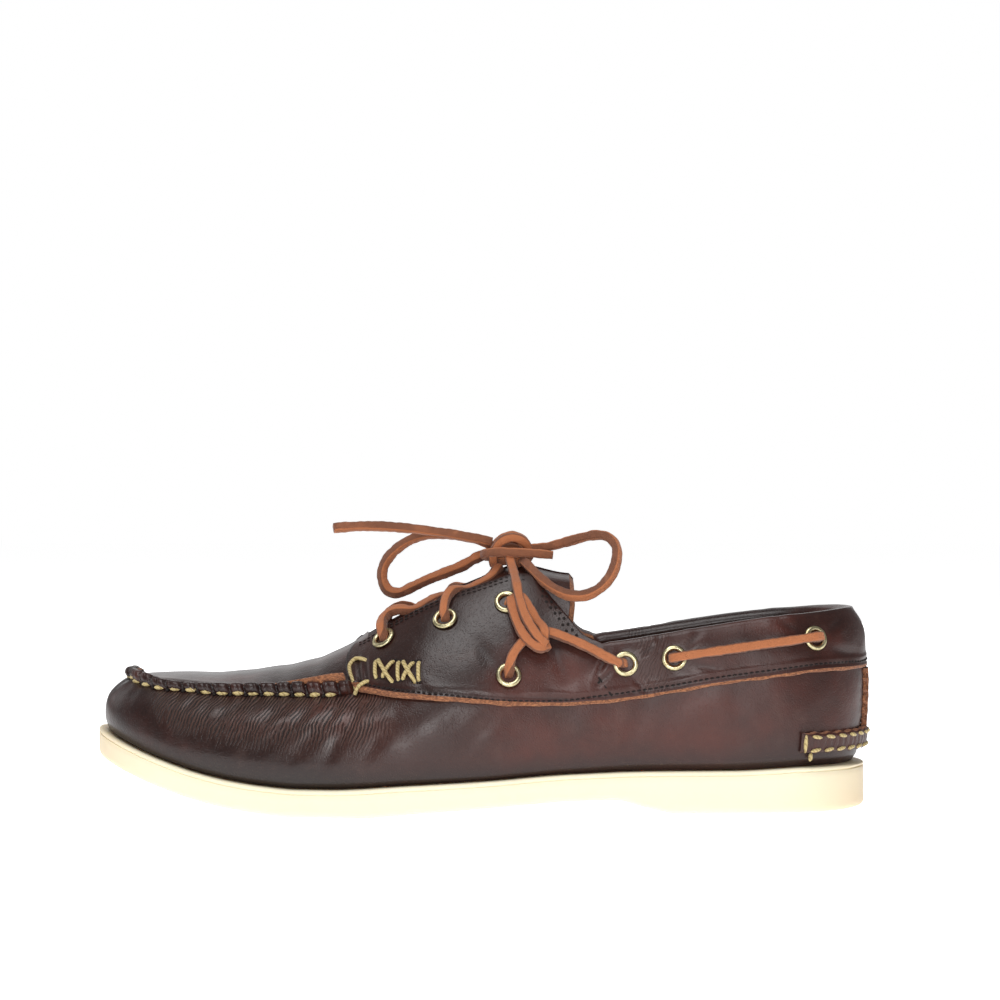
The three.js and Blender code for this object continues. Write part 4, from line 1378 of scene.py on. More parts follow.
    def build_tongue(self) -> None:
        """Builds the tongue with its cut end."""
        rows = ((0.3, 0.1), (0.32, 0.15), (0.4, 0.2), (0.5, 0.26), (0.59, 0.3), (0.612, 0.27), (0.6165, 0.2))
        at = np.concatenate([np.linspace(0.3, 0.6, 90, endpoint=False), np.linspace(0.6, 0.6165, 12)])
        half = np.interp(at, [r[0] for r in rows], [r[1] for r in rows]) * LAST.ball_width
        across = np.linspace(-1, 1, 53)
        sheets = []
        for off, longer in ((-2.7, 0.0), (-4.7, 0.006)):
            points = np.zeros((len(across), len(at), 3))
            for k, share in enumerate(across):
                side = Side.OUTER if share < 0 else Side.INNER
                back = at + longer * smoothstep(0.55, 0.6165, at)
                turn, level = LAST.solve(side, back, np.maximum(np.abs(share) * half, 0.05), plan=True)
                points[k] = LAST.place(turn, level, off)
                points[k, :, 2] += 0.3 * ripple(points[k], 30.0)
            sheets.append(points)
        top, low = sheets
        rim = np.concatenate([top[0], top[1:, -1], top[-1, -2::-1], top[-2::-1, 0]])
        foot = np.concatenate([low[0], low[1:, -1], low[-1, -2::-1], low[-2::-1, 0]])
        edge = grid(np.array([foot, rim]))
        for face in edge.faces:
            face.material_index = 1
        upper = grid(top)
        mark(upper, "crease", np.full(top.shape[:2], 0.1))
        mark(upper, "shade", np.zeros(top.shape[:2]))
        whole = joined([upper, grid(low, flip=True), edge])
        bmesh.ops.remove_doubles(whole, verts=whole.verts, dist=0.01 * MM)
        bmesh.ops.recalc_face_normals(whole, faces=whole.faces)
        made = piece(whole, "tongue_leather", [Finish.LEATHER, Finish.EDGE], ["tongue"])
        made.modifiers.new("edges", "EDGE_SPLIT").split_angle = math.radians(50)

    def build_lining(self) -> None:
        """Builds the inside of the wall."""
        turn = np.linspace(0, 1, 361)
        at = LAST.at_of(LAST.edge(turn)[:, 0])
        rows = (
            (0.0, 1.0), (0.335, 1.0), (0.352, 0.86), (0.45, 0.8), (0.55, 0.72), (0.6, 0.6), (0.66, 0.45),
            (1.0, 0.44),
        )
        top = Table(rows, 1)(at)
        level = np.linspace(0.0, 1.0, 31)[:, None] * top[None]
        both = np.broadcast_to(turn, level.shape)
        points = LAST.place(both, np.clip(level, 0, 0.995), -2.4)
        bm = grid(points, flip=True)
        bmesh.ops.remove_doubles(bm, verts=bm.verts, dist=0.02 * MM)
        piece(bm, "inner_lining", [Finish.LINING])

    def build(self) -> None:
        """Builds the vamp."""
        self.build_wall()
        self.build_plug()
        self.build_ridge()
        self.build_tongue()
        self.build_lining()


@dataclass(frozen=True)
class EyeletPlace:
    """Where an eyelet stands: a share of the length, and a height as a share of the instep's."""

    name: str
    at: float
    up: float


EYELETS = (
    EyeletPlace("front", 0.381, 0.667),
    EyeletPlace("middle", 0.458, 0.748),
    EyeletPlace("rear", 0.535, 0.815),
    EyeletPlace("low", 0.536, 0.541),
    EyeletPlace("side_1", 0.683, 0.587),
    EyeletPlace("side_2", 0.745, 0.6085),
    EyeletPlace("side_3", 0.923, 0.679),
)


def eyelet_axes(side: int, place: EyeletPlace) -> tuple[Array, Array, Array]:
    """The centre on the last, the outward normal and the direction along the shoe of an eyelet."""
    turn, level = LAST.solve(side, np.array([place.at]), np.array([place.up * LAST.instep]))
    point, normal, along, _ = LAST.axes(turn, level)
    return point[0], normal[0], along[0]


@dataclass(frozen=True)
class Eyelets:
    """Fourteen brass eyelets, spun about their axes."""

    bore: float = 2.75
    flange: float = 4.75
    steps: int = 28

    def one(self, point: Array, normal: Array, along: Array) -> bmesh.types.BMesh:
        """Spins one eyelet and sets it on the shoe.

        Args:
            point: Its centre.
            normal: The direction that it faces.
            along: The direction along the shoe.

        Returns:
            The eyelet's mesh.
        """
        bm = bmesh.new()
        rim = bm.verts.layers.float.new("rim")
        outline = (
            (self.flange - 0.55, 2.0, 0.2), (self.flange - 0.1, 2.1, 0.2), (self.flange, 2.4, 0.5),
            (self.flange - 0.3, 2.85, 0.9), (self.flange - 0.8, 3.15, 1.0),
            (self.flange - 1.35, 3.12, 1.0), (self.bore + 0.15, 2.75, 0.7), (self.bore, 2.2, 0.1),
            (self.bore, 0.6, 0.0), (self.bore, -1.2, 0.0),
        )
        verts = []
        # shine: 1 on the flange's crown, lower towards its underside and in the bore, where the brass gets
        # painted shade
        for radius, height, shine in outline:
            vert = bm.verts.new((radius * MM, 0.0, height * MM))
            vert[rim] = shine
            verts.append(vert)
        edges = [bm.edges.new(pair) for pair in zip(verts, verts[1:])]
        bmesh.ops.spin(
            bm,
            geom=[*verts, *edges],
            axis=(0, 0, 1),
            cent=(0, 0, 0),
            dvec=(0, 0, 0),
            angle=2 * math.pi,
            steps=self.steps,
            use_merge=True,
            use_duplicate=False,
        )
        bmesh.ops.remove_doubles(bm, verts=bm.verts, dist=0.001 * MM)
        bmesh.ops.recalc_face_normals(bm, faces=bm.faces)
        # a dark disc down in the bore, in the hole material: painted shade of the hole
        deep = Matrix.Translation((0, 0, -1.1 * MM))
        wide = self.bore * 1.02 * MM
        plate = bmesh.ops.create_circle(bm, cap_ends=True, segments=self.steps, radius=wide, matrix=deep)
        for face in {f for v in plate["verts"] for f in v.link_faces}:
            face.material_index = 1
        bmesh.ops.transform(bm, matrix=placed(point, along, normal, (1 / MM, 1 / MM, 1 / MM)), verts=bm.verts)
        return bm

    def build(self) -> None:
        """Builds all eyelets as one piece."""
        parts, nodes = [], []
        for side, word in ((Side.OUTER, "outer"), (Side.INNER, "inner")):
            for place in EYELETS:
                parts.append(self.one(*eyelet_axes(side, place)))
                nodes.append(f"eyelet_{place.name}_{word}")
        piece(joined(parts), "eyelets", [Finish.BRASS, Finish.HOLE], nodes)


@dataclass(frozen=True)
class Band:
    """Eyestays, collar band and padded collar in one skin round the shoe, with all that is sewn on it."""

    under: float = 0.25
    over: float = 2.0
    lower: Rows = (
        (0.3445, 46.5), (0.353, 44.7), (0.4, 43.0), (0.466, 42.0), (0.547, 40.4), (0.601, 40.2),
        (0.655, 40.9), (0.737, 43.9), (0.793, 46.7), (0.875, 49.7), (0.933, 51.6), (0.99, 52.05),
        (1.0, 52.1),
    )
    throat: Rows = (
        (0.3445, 11.5), (0.352, 14.6), (0.38, 17.0), (0.43, 18.0), (0.5, 18.0), (0.545, 17.0),
        (0.562, 16.6),
    )
    behind: Rows = ((0.5645, 86.4), (0.57, 85.0), (0.603, 74.4), (0.634, 64.2))
    collar: Rows = (
        (0.644, 62.9), (0.692, 64.4), (0.77, 68.0), (0.867, 72.1), (0.942, 74.2), (0.972, 74.8),
        (0.999, 74.8),
    )
    pad_drop: float = 2.4
    creases: tuple[Crease, ...] = (
        Crease((46.0, 60.0), (41.0, 49.0), 1.2, 0.4),
        Crease((57.0, 58.0), (64.0, 62.0), 1.1, 0.35),
        Crease((47.0, 53.0), (41.0, 47.0), 1.2, 0.4),
        Crease((55.0, 50.0), (60.0, 45.0), 1.2, 0.3),
        Crease((66.0, 62.0), (63.0, 67.0), 1.2, 0.3),
        Crease((74.0, 61.0), (80.0, 66.0), 1.4, 0.35),
        Crease((76.0, 55.0), (86.0, 54.0), 1.6, 0.35),
        Crease((116.0, 66.0), (108.0, 70.0), 1.6, 0.4),
        Crease((117.0, 62.0), (104.0, 60.0), 2.0, 0.35),
        Crease((127.0, 66.0), (133.0, 70.5), 1.5, 0.4),
        Crease((128.0, 60.0), (138.0, 57.0), 1.8, 0.35),
        Crease((-45.6, 55.4), (-44.2, 46.0), 0.9, 0.7),
        Crease((-42.9, 55.6), (-41.9, 46.6), 0.8, 0.6),
        Crease((-24.0, 47.6), (-18.0, 44.0), 1.6, 0.3),
        Crease((-2.0, 62.0), (4.0, 54.0), 2.4, 0.3),
        Crease((24.0, 66.0), (30.0, 50.0), 2.4, 0.35),
    )

    def half(self, side: int) -> tuple[Array, Array, Array, Array]:
        """The lower and top lines of one side, from the front to the heel.

        Args:
            side: The side of the shoe.

        Returns:
            Turn and level of the lower line, and of the top line, column by column.
        """
        knots = (
            ((0.3445, 0.4), ("throat", 0.3445, 0.382), 26),
            ((0.4, 0.53), ("throat", 0.382, 0.53), 56),
            ((0.53, 0.556), ("throat", 0.53, 0.562), 14),
            ((0.556, 0.605), ("behind", 0.5645, 0.634), 40),
            ((0.605, 0.66), ("collar", 0.644, 0.672), 18),
            ((0.66, 0.9995), ("collar", 0.672, 0.9985), 170),
        )
        low_at, low_z, top_turn, top_level = [], [], [], []
        for (start, end), (kind, first, last), count in knots:
            share = np.arange(count) / count if end < 0.99 else np.linspace(0, 1, count)
            at = start + (end - start) * share
            low_at.append(at)
            low_z.append(Table(self.lower, 1)(at) + 1.0)
            at = first + (last - first) * share
            value = Table(getattr(self, kind), 1)(at)
            if kind == "collar":
                value = value - self.pad_drop * smoothstep(0.644, 0.66, at)
            turn, level = LAST.solve(side, at, value, plan=kind == "throat")
            top_turn.append(turn)
            top_level.append(level)
        low_turn, low_level = LAST.solve(side, np.concatenate(low_at), np.concatenate(low_z))
        top_turn, top_level = np.concatenate(top_turn), np.concatenate(top_level)
        for _ in range(3):
            for line in (top_turn, top_level):
                line[1:-1] = (line[:-2] + 2 * line[1:-1] + line[2:]) / 4
        return low_turn, low_level, top_turn, top_level

    def lines(self) -> tuple[Array, Array, Array, Array]:
        """The lower and top lines of both sides, from the front of the outer side round the heel."""
        outer, inner = self.half(Side.OUTER), self.half(Side.INNER)
        return tuple(np.concatenate([a, b[::-1]]) for a, b in zip(outer, inner))

    def rows(self) -> list[tuple[float, float, float, float, float, int]]:
        """Lists the rows of the skin.

        Returns:
            For each the share of the way up, off and rise at a cut edge, off and rise on the padded collar,
            and the number of the material.
        """
        edge = ((self.under, -1.0), (1.15, -1.25), (1.75, -0.85), (2.0, -0.12))
        made = [(0.0, off, rise, off, rise, 1) for off, rise in edge]
        for share in np.linspace(0.016, 1.0, 46):
            made.append((share, self.over, 0.0, self.over, 0.0, 0))
        cut = ((1.9, 0.2, 0), (1.2, 0.3, 0), (-1.0, 0.3, 0), (-2.5, 0.15, 1), (-2.65, -0.1, 0))
        for k, (off, rise, material) in enumerate(cut):
            angle = math.pi * (k + 1) / 5
            round_off, round_rise = -0.35 + 2.95 * math.cos(angle), 2.5 * math.sin(angle) ** 0.9
            made.append((1.0, off, rise, round_off, round_rise, material))
        for share in (0.97, 0.9, 0.8, 0.65, 0.5, 0.35):
            made.append((share, -2.65, 0.0, -3.1, 0.0, 0))
        return made

    def build_skin(self) -> bpy.types.Object:
        """Builds the skin itself."""
        low_turn, low_level, top_turn, top_level = self.lines()
        rows = self.rows()
        share = np.array([r[0] for r in rows])[:, None]
        turn = low_turn[None] * (1 - share) + top_turn[None] * share
        level = low_level[None] * (1 - share) + top_level[None] * share
        columns = turn.shape[1]
        index = np.arange(columns)
        for first, sign in ((0, 1), (columns - 1, -1)):
            fade = smoothstep(16.0, 0.0, np.abs(index - first))[None]
            turn = turn - sign * 0.0052 * np.sin(np.pi * np.clip(0.03 + 0.97 * share, 0, 1)) ** 0.45 * fade
        at = LAST.at_of(LAST.point(turn, level)[..., 0])
        pad = smoothstep(0.634, 0.672, at)
        cut_off, cut_rise, pad_off, pad_rise = (np.array([r[k] for r in rows])[:, None] for k in (1, 2, 3, 4))
        off = cut_off * (1 - pad) + pad_off * pad
        rise = cut_rise * (1 - pad) + pad_rise * pad
        ragged = 1.05 - 0.5 * smoothstep(0.45, 0.75, at) + 0.2 * ripple(LAST.point(turn, level), 11.0)
        rise = np.where(share == 0.0, rise * ragged, rise)
        main = np.array([r[5] == 0 and r[1] > 0 for r in rows])[:, None]
        puff = np.sin(np.pi * np.clip((share - 0.2) / 1.05, 0, 1)) ** 1.2
        off = off + main * pad * 1.1 * puff
        off[:, 0] = off[:, -1] = self.under
        points, normal, _, over = LAST.axes(turn, level)
        climb = np.cumsum(np.linalg.norm(np.diff(points, axis=0, prepend=points[:1]), axis=2), axis=0)
        relief = 0.22 * ripple(points, 38.0) + 0.1 * ripple(points, 13.0)
        relief -= 0.35 * np.exp(-(((climb - 1.7) / 0.5) ** 2)) - 0.2 * np.exp(-(((climb - 3.9) / 0.6) ** 2))
        folds = sum(crease.relief(points) for crease in self.creases)
        relief += folds
        for side in Side:
            for place in EYELETS:
                centre, _, _ = eyelet_axes(side, place)
                away = np.linalg.norm(points - centre, axis=-1)
                strength = 1.3 if place.name.startswith("side") else 0.45
                relief -= strength * np.exp(-((away / 6.0) ** 2))
        off = off + np.where(main, relief, 0.0)
        skin = points + normal * off[..., None] + over * rise[..., None]
        bm = grid(skin)
        mark(bm, "crease", np.full(turn.shape, 0.1) + 0.3 * smoothstep(9, 4, np.abs(points[..., 0] - 62)))
        inside = np.array([r[1] < -1 for r in rows])[:, None]
        shade = np.where(inside, 0.15, 0.0) + 0.35 * np.exp(-(((climb - 1.7) / 0.5) ** 2)) * main
        shade = shade + np.clip(-folds * 1.1, 0, 0.6) * main
        shade[:, :3] = shade[:, -3:] = 0.7
        mark(bm, "shade", np.clip(shade, 0, 1))
        kinds = [r[5] for r in rows]
        bm.faces.ensure_lookup_table()
        for number, face in enumerate(bm.faces):
            row, column = divmod(number, columns - 1)
            raw = max(kinds[row], kinds[row + 1]) == 1
            if row >= 46:
                raw = raw and pad[min(row, len(kinds) - 1), column] < 0.5
            if column in (0, columns - 2):
                raw = False
            face.material_index = 1 if raw else 0
        nodes = ["saddle_band", "collar_roll"]
        return piece(bm, "band_and_collar", [Finish.LEATHER, Finish.EDGE], nodes)

    def on_band(self, side: int, at: Array, height: Array, off: float) -> tuple[Array, Array, Array]:
        """Places on the band.

        Args:
            side: The side of the shoe.
            at: The shares of the length.
            height: The heights.
            off: The distance from the last.

        Returns:
            The points, the normals and the directions along the shoe.
        """
        turn, level = LAST.solve(side, at, height)
        point, normal, along, _ = LAST.axes(turn, level)
        return point + normal * off, normal, along

    def row_marks(self, line: Array, normal: Array, pitch: float, size: Sequence[float]) -> list[Matrix]:
        """Marks at even distances along a line.

        Args:
            line: The line's points.
            normal: The surface's normals along it.
            pitch: The distance between two marks.
            size: Each mark's length, width and height.

        Returns:
            The places of the marks.
        """
        both = evenly(np.hstack([line, normal * 3]), pitch)
        tangent = np.gradient(both[:, :3], axis=0)
        return [placed(p[:3], t, p[3:], size) for p, t in zip(both, tangent)]

    def build_rows(self) -> None:
        """Sews the rows along the lower edge, the eyestay's edges and the holes behind it."""
        dark, holes = [], []
        edges = self.lines()
        line, normal = self.inside_line(edges, 1.7, True)
        dark += self.row_marks(line, normal, 2.1, (1.7, 0.7, 0.75))
        count = 26 + 56 + 14
        for inset in (1.3, 3.1):
            line, normal = self.inside_line(edges, inset, False)
            for part in (slice(4, count - 2), slice(-count + 2, -4)):
                dark += self.row_marks(line[part], normal[part], 2.1, (1.6, 0.65, 0.7))
        for inset in (2.0, 4.3):
            line, normal = self.inside_line(edges, inset, False)
            first, last = count + 2, count + 40 + 8
            for part in (slice(first, last), slice(-last, -first)):
                holes += self.row_marks(line[part], normal[part], 2.75, (1.3, 1.2, 1.2))
        for side in Side:
            for start, end in (((36.0, 54.4), (41.2, 45.6)), ((38.4, 55.2), (43.4, 46.4))):
                line, normal = self.stretch(side, start, end, 2.05)
                holes += self.row_marks(line, normal, 2.5, (1.3, 1.2, 1.2))
            line, normal = self.stretch(side, (42.6, 49.6), (46.2, 44.6), 2.05)
            dark += self.row_marks(line, normal, 3.0, (3.0, 0.9, 0.8))
        piece(stitches(dark, 6), "dark_stitches", [Finish.HOLE])
        # pinholes: small dark dishes in the hole material, painted shade for holes that are not cut
        piece(pricks(holes), "pinholes", [Finish.HOLE])

    def stretch(
        self, side: int, start: tuple[float, float], end: tuple[float, float], off: float, count: int = 12
    ) -> tuple[Array, Array]:
        """A stretch on the band that is straight in the side view.

        Args:
            side: The side of the shoe.
            start: X and Z of its start.
            end: X and Z of its end.
            off: The distance from the last.
            count: How many points it has.

        Returns:
            The points and the normals.
        """
        both = np.linspace(start, end, count)
        return self.on_band(side, LAST.at_of(both[:, 0]), both[:, 1], off)[:2]

    def build_thick_thread(self) -> None:
        """Sews the bars and crosses behind the band's front end, and the loop round it."""
        strand = Strand(1.5, 0.0, 8, 0.5, 0.06)
        straight = (
            ((-38.6, 55.4), (-38.6, 48.6)), ((-30.2, 55.4), (-30.2, 48.2)), ((-23.0, 55.6), (-23.0, 48.2)),
            ((-38.0, 55.6), (-32.3, 47.8)), ((-31.9, 55.6), (-36.5, 49.0)), ((-28.6, 55.4), (-24.3, 48.2)),
            ((-24.7, 55.4), (-28.9, 48.6)), ((-47.2, 43.8), (-41.0, 48.0)),
        )
        rows = (
            (-41.6, 54.9), (-44.0, 54.9), (-46.6, 54.4), (-48.9, 52.6), (-48.9, 50.4), (-47.9, 48.0),
            (-46.5, 44.6),
        )
        loop = np.array(rows)
        parts, slots = [], []
        for side in Side:
            for number, (start, end) in enumerate(straight):
                points, normal = self.stretch(side, start, end, 0.0, 9)
                arch = np.array([0.4, 2.2, 2.65, 2.75, 2.8, 2.75, 2.65, 2.2, 0.4])
                arch += 0.9 if number in (3, 5) else 0.0
                if number == 7:
                    arch[:3] = (0.2, 1.6, 2.2)
                parts.append(strand.mesh(points + normal * arch[:, None], normal))
                for place in (start, end):
                    at, height = LAST.at_of(np.array([place[0]])), np.array([place[1]])
                    point, normals, along = self.on_band(side, at, height, 2.06)
                    if number != 7:
                        slots.append(placed(point[0], along[0], normals[0], (2.6, 0.9, 1.0)))
            points, normal, _ = self.on_band(side, LAST.at_of(loop[:, 0]), loop[:, 1], 0.0)
            arch = np.array([0.4, 2.6, 2.8, 2.3, 2.1, 2.0, 0.4])
            parts.append(strand.mesh(points + normal * arch[:, None], normal))
        piece(joined(parts), "thick_thread", [Finish.THREAD])
        # thread slots: dark dishes in the hole material, painted shade where the thread goes in
        piece(pricks(slots), "thread_slots", [Finish.HOLE])

    def inside_line(self, edges: tuple[Array, ...], inset: float, low: bool) -> tuple[Array, Array]:
        """A line on the band beside one of its edges.

        Args:
            edges: Turn and level of the lower edge, and of the top edge.
            inset: The distance from the edge.
            low: Whether it is the lower edge.

        Returns:
            The points and the normals.
        """
        low_turn, low_level, top_turn, top_level = edges
        start = LAST.point(low_turn, low_level)
        end = LAST.point(top_turn, top_level)
        share = inset / np.maximum(np.linalg.norm(end - start, axis=1), 1.0)
        share = share if low else 1 - share
        turn = low_turn * (1 - share) + top_turn * share
        level = low_level * (1 - share) + top_level * share
        point, normal, _, _ = LAST.axes(turn, level)
        return point + normal * (self.over + 0.02), normal

    def build(self) -> None:
        """Builds the band."""
        skin = self.build_skin()
        self.build_rows()
        self.build_thick_thread()


@dataclass(frozen=True)
class HeelTrim:
    """The strap round the heel and the strip up the back."""

    strap_front: float = 0.905
    low: float = 22.8
    high: float = 29.8

    def build_strap(self) -> None:
        """Builds the strap with its stitches."""
        first = math.acos(1 - 2 * self.strap_front) / (2 * math.pi)
        turn = np.linspace(first, 1 - first, 261)
        rows = (
            (0.0, 0.35), (0.0, 2.5), (0.05, 3.05), (0.16, 3.15), (0.3, 3.05), (0.5, 3.15), (0.7, 3.05),
            (0.84, 3.15), (0.95, 3.05), (1.0, 2.5), (1.0, 0.35),
        )
        span = LAST.point(turn, LAST.level_at(turn, np.full_like(turn, self.low)))
        run = np.concatenate([[0], np.cumsum(np.linalg.norm(np.diff(span, axis=0), axis=1))])
        run -= run[-1] / 2
        pucker = np.cos(2 * np.pi * run / 5.6)
        skin = []
        for share, off in rows:
            wave = 0.3 * pucker * (1 if share in (0.0, 1.0) else 0.0)
            height = self.low + (self.high - self.low) * share + wave * (1 if share > 0.5 else -1)
            level = LAST.level_at(turn, height)
            thick = off - 0.3 * (off > 1) * (1 - np.abs(pucker)) * (0.1 < share < 0.9)
            ends = smoothstep(0.0, 2.2, run[-1] - np.abs(run))
            skin.append(LAST.place(turn, level, 0.35 + (thick - 0.35) * (0.35 + 0.65 * ends)))
        bm = grid(np.array(skin))
        mark(bm, "crease", np.full((len(rows), len(turn)), 0.3))
        mark(bm, "shade", np.zeros((len(rows), len(turn))))
        bm.faces.ensure_lookup_table()
        for number, face in enumerate(bm.faces):
            row, column = divmod(number, len(turn) - 1)
            face.material_index = 1 if row == len(rows) - 2 and column not in (0, len(turn) - 2) else 0
        piece(bm, "strap_leather", [Finish.LEATHER, Finish.EDGE], ["heel_strap"])
        sewn = []
        count = int(run[-1] / 5.6)
        for height, slant in ((self.low + 1.15, 0.18), (self.high - 1.15, -0.18)):
            for number in range(-count, count + 1):
                here = np.interp(number * 5.6, run, turn)
                level = LAST.level_at(np.array([here]), np.array([height]))
                point, normal, along, _ = (v[0] for v in LAST.axes(np.array([here]), level))
                sewn.append(placed(point + normal * 3.15, along, normal, (4.6, 1.45, 1.4), slant))
        for sign in (-1, 1):
            here = np.interp(sign * (run[-1] - 1.2), run, turn)
            level = LAST.level_at(np.array([here]), np.array([(self.low + self.high) / 2]))
            point, normal, along, over = (v[0] for v in LAST.axes(np.array([here]), level))
            sewn.append(placed(point + normal * 2.6, over, normal, (7.4, 1.5, 1.6)))
        here = np.interp(run[0] + 4.2, run, turn)
        if LAST.point(np.array([here]), np.array([0.3]))[0, 1] > 0:
            here = 1 - here
        level = LAST.level_at(np.array([here]), np.array([20.9]))
        point, normal, _, over = (v[0] for v in LAST.axes(np.array([here]), level))
        sewn.append(placed(point + normal * 1.5, over, normal, (3.6, 1.7, 1.7)))
        piece(stitches(sewn, 10), "strap_stitches", [Finish.THREAD])

    def build_strip(self) -> None:
        """Builds the two-ply strip with its wavy edges."""
        sample = np.linspace(0.42, 0.58, 801)
        parts = []
        for ply, (wide, top) in enumerate(((7.0, 1.35), (5.6, 2.3))):
            height = np.linspace(30.2, 51.8, 64)
            share = np.concatenate([[-1.0, -1.0], np.linspace(-0.94, 0.94, 21), [1.0, 1.0]])
            skin = np.zeros((len(height), len(share), 3))
            for row, z in enumerate(height):
                level = LAST.level_at(sample, np.full_like(sample, z))
                y = LAST.point(sample, level)[:, 1]
                wave = 0.85 * math.sin(z * 1.6 + ply * 1.3) + 0.25 * math.sin(z * 2.9 + 1.0)
                turn = np.interp(share * (wide + wave), y, sample)
                level = LAST.level_at(turn, np.full_like(turn, z))
                off = np.full_like(turn, top)
                off[0] = off[-1] = 0.3 if ply == 0 else 1.2
                off += 0.15 * np.sin(z * 1.1) * (np.abs(share) < 0.9)
                skin[row] = LAST.place(turn, level, off)
            bm = grid(skin)
            mark(bm, "crease", np.full(skin.shape[:2], 0.3))
            mark(bm, "shade", np.zeros(skin.shape[:2]))
            bm.faces.ensure_lookup_table()
            for number, face in enumerate(bm.faces):
                column = number % (len(share) - 1)
                face.material_index = 1 if column in (0, 1, len(share) - 3, len(share) - 2) else 0
            parts.append(bm)
        piece(joined(parts), "strip_leather", [Finish.LEATHER, Finish.EDGE], ["back_strip"])

    def build(self) -> None:
        """Builds the heel's trim."""
        self.build_strap()
        self.build_strip()


@dataclass(frozen=True)
class Lace:
    """The rawhide lace: what runs through the eyelets, the knot and the bow."""

    width: float = 3.1
    off: float = 5.34
    long_end: Rows = (
        (3.1, -3.4, 99.8), (-2.0, -4.0, 100.9), (-6.5, -4.5, 101.7), (-11.0, -5.0, 102.5),
        (-15.5, -5.6, 103.2), (-20.0, -6.2, 103.8), (-24.5, -6.9, 104.4), (-29.0, -7.6, 104.9),
        (-33.5, -8.4, 105.3), (-38.0, -9.2, 105.6), (-42.5, -10.1, 105.7), (-46.5, -11.0, 105.7),
        (-50.0, -11.8, 105.5), (-53.5, -12.6, 105.3), (-56.5, -13.3, 105.0),
    )
    short_end: Rows = (
        (1.6, 0.5, 94.0), (0.6, -3.0, 94.6), (0.6, -7.0, 95.2), (2.6, -10.2, 95.7), (6.0, -11.3, 96.0),
        (8.0, -11.5, 96.0), (10.0, -11.6, 95.9), (12.0, -11.6, 95.8), (14.0, -11.6, 95.7),
        (16.0, -11.5, 95.6), (18.0, -11.4, 95.5), (20.0, -11.2, 95.4), (22.0, -11.0, 95.2),
        (24.0, -10.8, 95.0), (26.0, -10.5, 94.8),
    )
    left_loop: Rows = (
        (3.2, 1.3, 98.2), (-3.5, 2.6, 100.6), (-9.5, 4.0, 101.8), (-15.5, 5.5, 102.4),
        (-21.5, 7.0, 102.3), (-27.0, 8.4, 100.8), (-32.0, 9.6, 98.0), (-36.2, 10.4, 94.2),
        (-38.8, 10.8, 89.8), (-39.2, 10.6, 85.2), (-37.0, 10.0, 80.8), (-33.0, 8.6, 79.8),
        (-27.4, 7.2, 82.2), (-21.5, 6.2, 85.0), (-15.0, 5.4, 87.6), (-8.5, 4.6, 90.2), (-2.5, 3.8, 93.6),
        (2.9, 2.9, 95.6),
    )
    right_loop: Rows = (
        (17.6, -3.2, 97.1), (23.3, -5.0, 97.6), (28.5, -6.6, 98.9), (33.5, -8.2, 100.3),
        (38.5, -10.2, 101.7), (43.3, -12.8, 102.4), (47.3, -16.0, 101.4), (49.8, -19.6, 97.9),
        (49.6, -23.2, 92.8), (47.4, -26.6, 87.4), (43.2, -29.4, 82.9), (37.6, -31.0, 80.3),
        (31.6, -31.0, 80.4), (26.4, -28.8, 82.6), (22.0, -24.4, 85.8), (18.6, -18.8, 89.0),
        (16.4, -13.2, 91.3), (14.8, -9.8, 92.5),
    )

    def through(self, side: int, place: EyeletPlace) -> tuple[Array, Array]:
        """Leads out of the shoe through an eyelet, from the inside.

        Args:
            side: The side of the shoe.
            place: The eyelet.

        Returns:
            The points, and the directions that the flat side faces there.
        """
        centre, normal, _ = eyelet_axes(side, place)
        points = np.array([centre + normal * off for off in (-4.0, 0.0, 3.2)])
        return points, np.broadcast_to(np.cross(normal, UP), points.shape)

    def build_cords(self) -> None:
        """Builds the loops and ends of the bow as cords."""
        strand = Strand(self.width)
        for name, rows, end, twist, node in (
            ("bow_end_long", self.long_end, "bare", 0.5, "lace_end_long"),
            ("bow_end_short", self.short_end, "bare", 0.2, "lace_end_short"),
            ("bow_loop_left", self.left_loop, "object", 1.2, "lace_loop_left"),
            ("bow_loop_right", self.right_loop, "object", -1.2, "lace_loop_right"),
        ):
            line = smooth_path(rows, 1.0)
            made = piece(strand.mesh(rows, None, twist), name, [Finish.RAWHIDE], [node])
            self.width * MM

    def build_knot(self) -> None:
        """Builds the knot from turns of the lace."""
        strand = Strand(self.width)
        turns = (
            (
                (5.5, 0.0, 91.6), (3.8, -5.4, 92.0), (3.7, -8.3, 95.4), (5.6, -8.0, 99.2),
                (10.4, -6.8, 101.4), (15.0, -5.6, 100.0), (17.2, -4.0, 96.6), (16.4, -1.0, 93.2),
                (13.0, 2.0, 91.8),
            ),
            (
                (6.0, 1.6, 92.0), (4.0, 2.6, 96.0), (6.4, 1.6, 100.4), (11.0, 0.2, 102.0), (15.4, 1.0, 99.8),
                (16.4, 1.8, 95.6), (13.6, 1.4, 92.6),
            ),
            (
                (12.0, -9.0, 91.6), (15.8, -8.2, 93.2), (16.8, -4.4, 95.6), (15.6, 0.0, 97.4),
                (11.6, 2.6, 98.6), (6.6, 1.4, 98.0), (3.8, -2.0, 96.8),
            ),
            ((5.2, 0.6, 92.4), (5.0, -3.6, 92.2), (8.6, -6.6, 92.6), (13.0, -5.4, 93.0), (14.8, -1.0, 93.4)),
        )
        parts = [strand.mesh(np.array(rows), None, 0.6) for rows in turns]
        core = bmesh.new()
        shape = Matrix.Diagonal((4.2 * MM, 3.4 * MM, 3.0 * MM, 1.0))
        middle = Matrix.Translation(Vector((10.0, -2.6, 96.4)) * MM) @ shape
        bmesh.ops.create_icosphere(core, subdivisions=3, radius=1.0, matrix=middle)
        cut = core.verts.layers.float.new("cut")
        for vert in core.verts:
            vert[cut] = 1.0
        piece(joined([*parts, core]), "knot_turns", [Finish.RAWHIDE], ["lace_knot"])

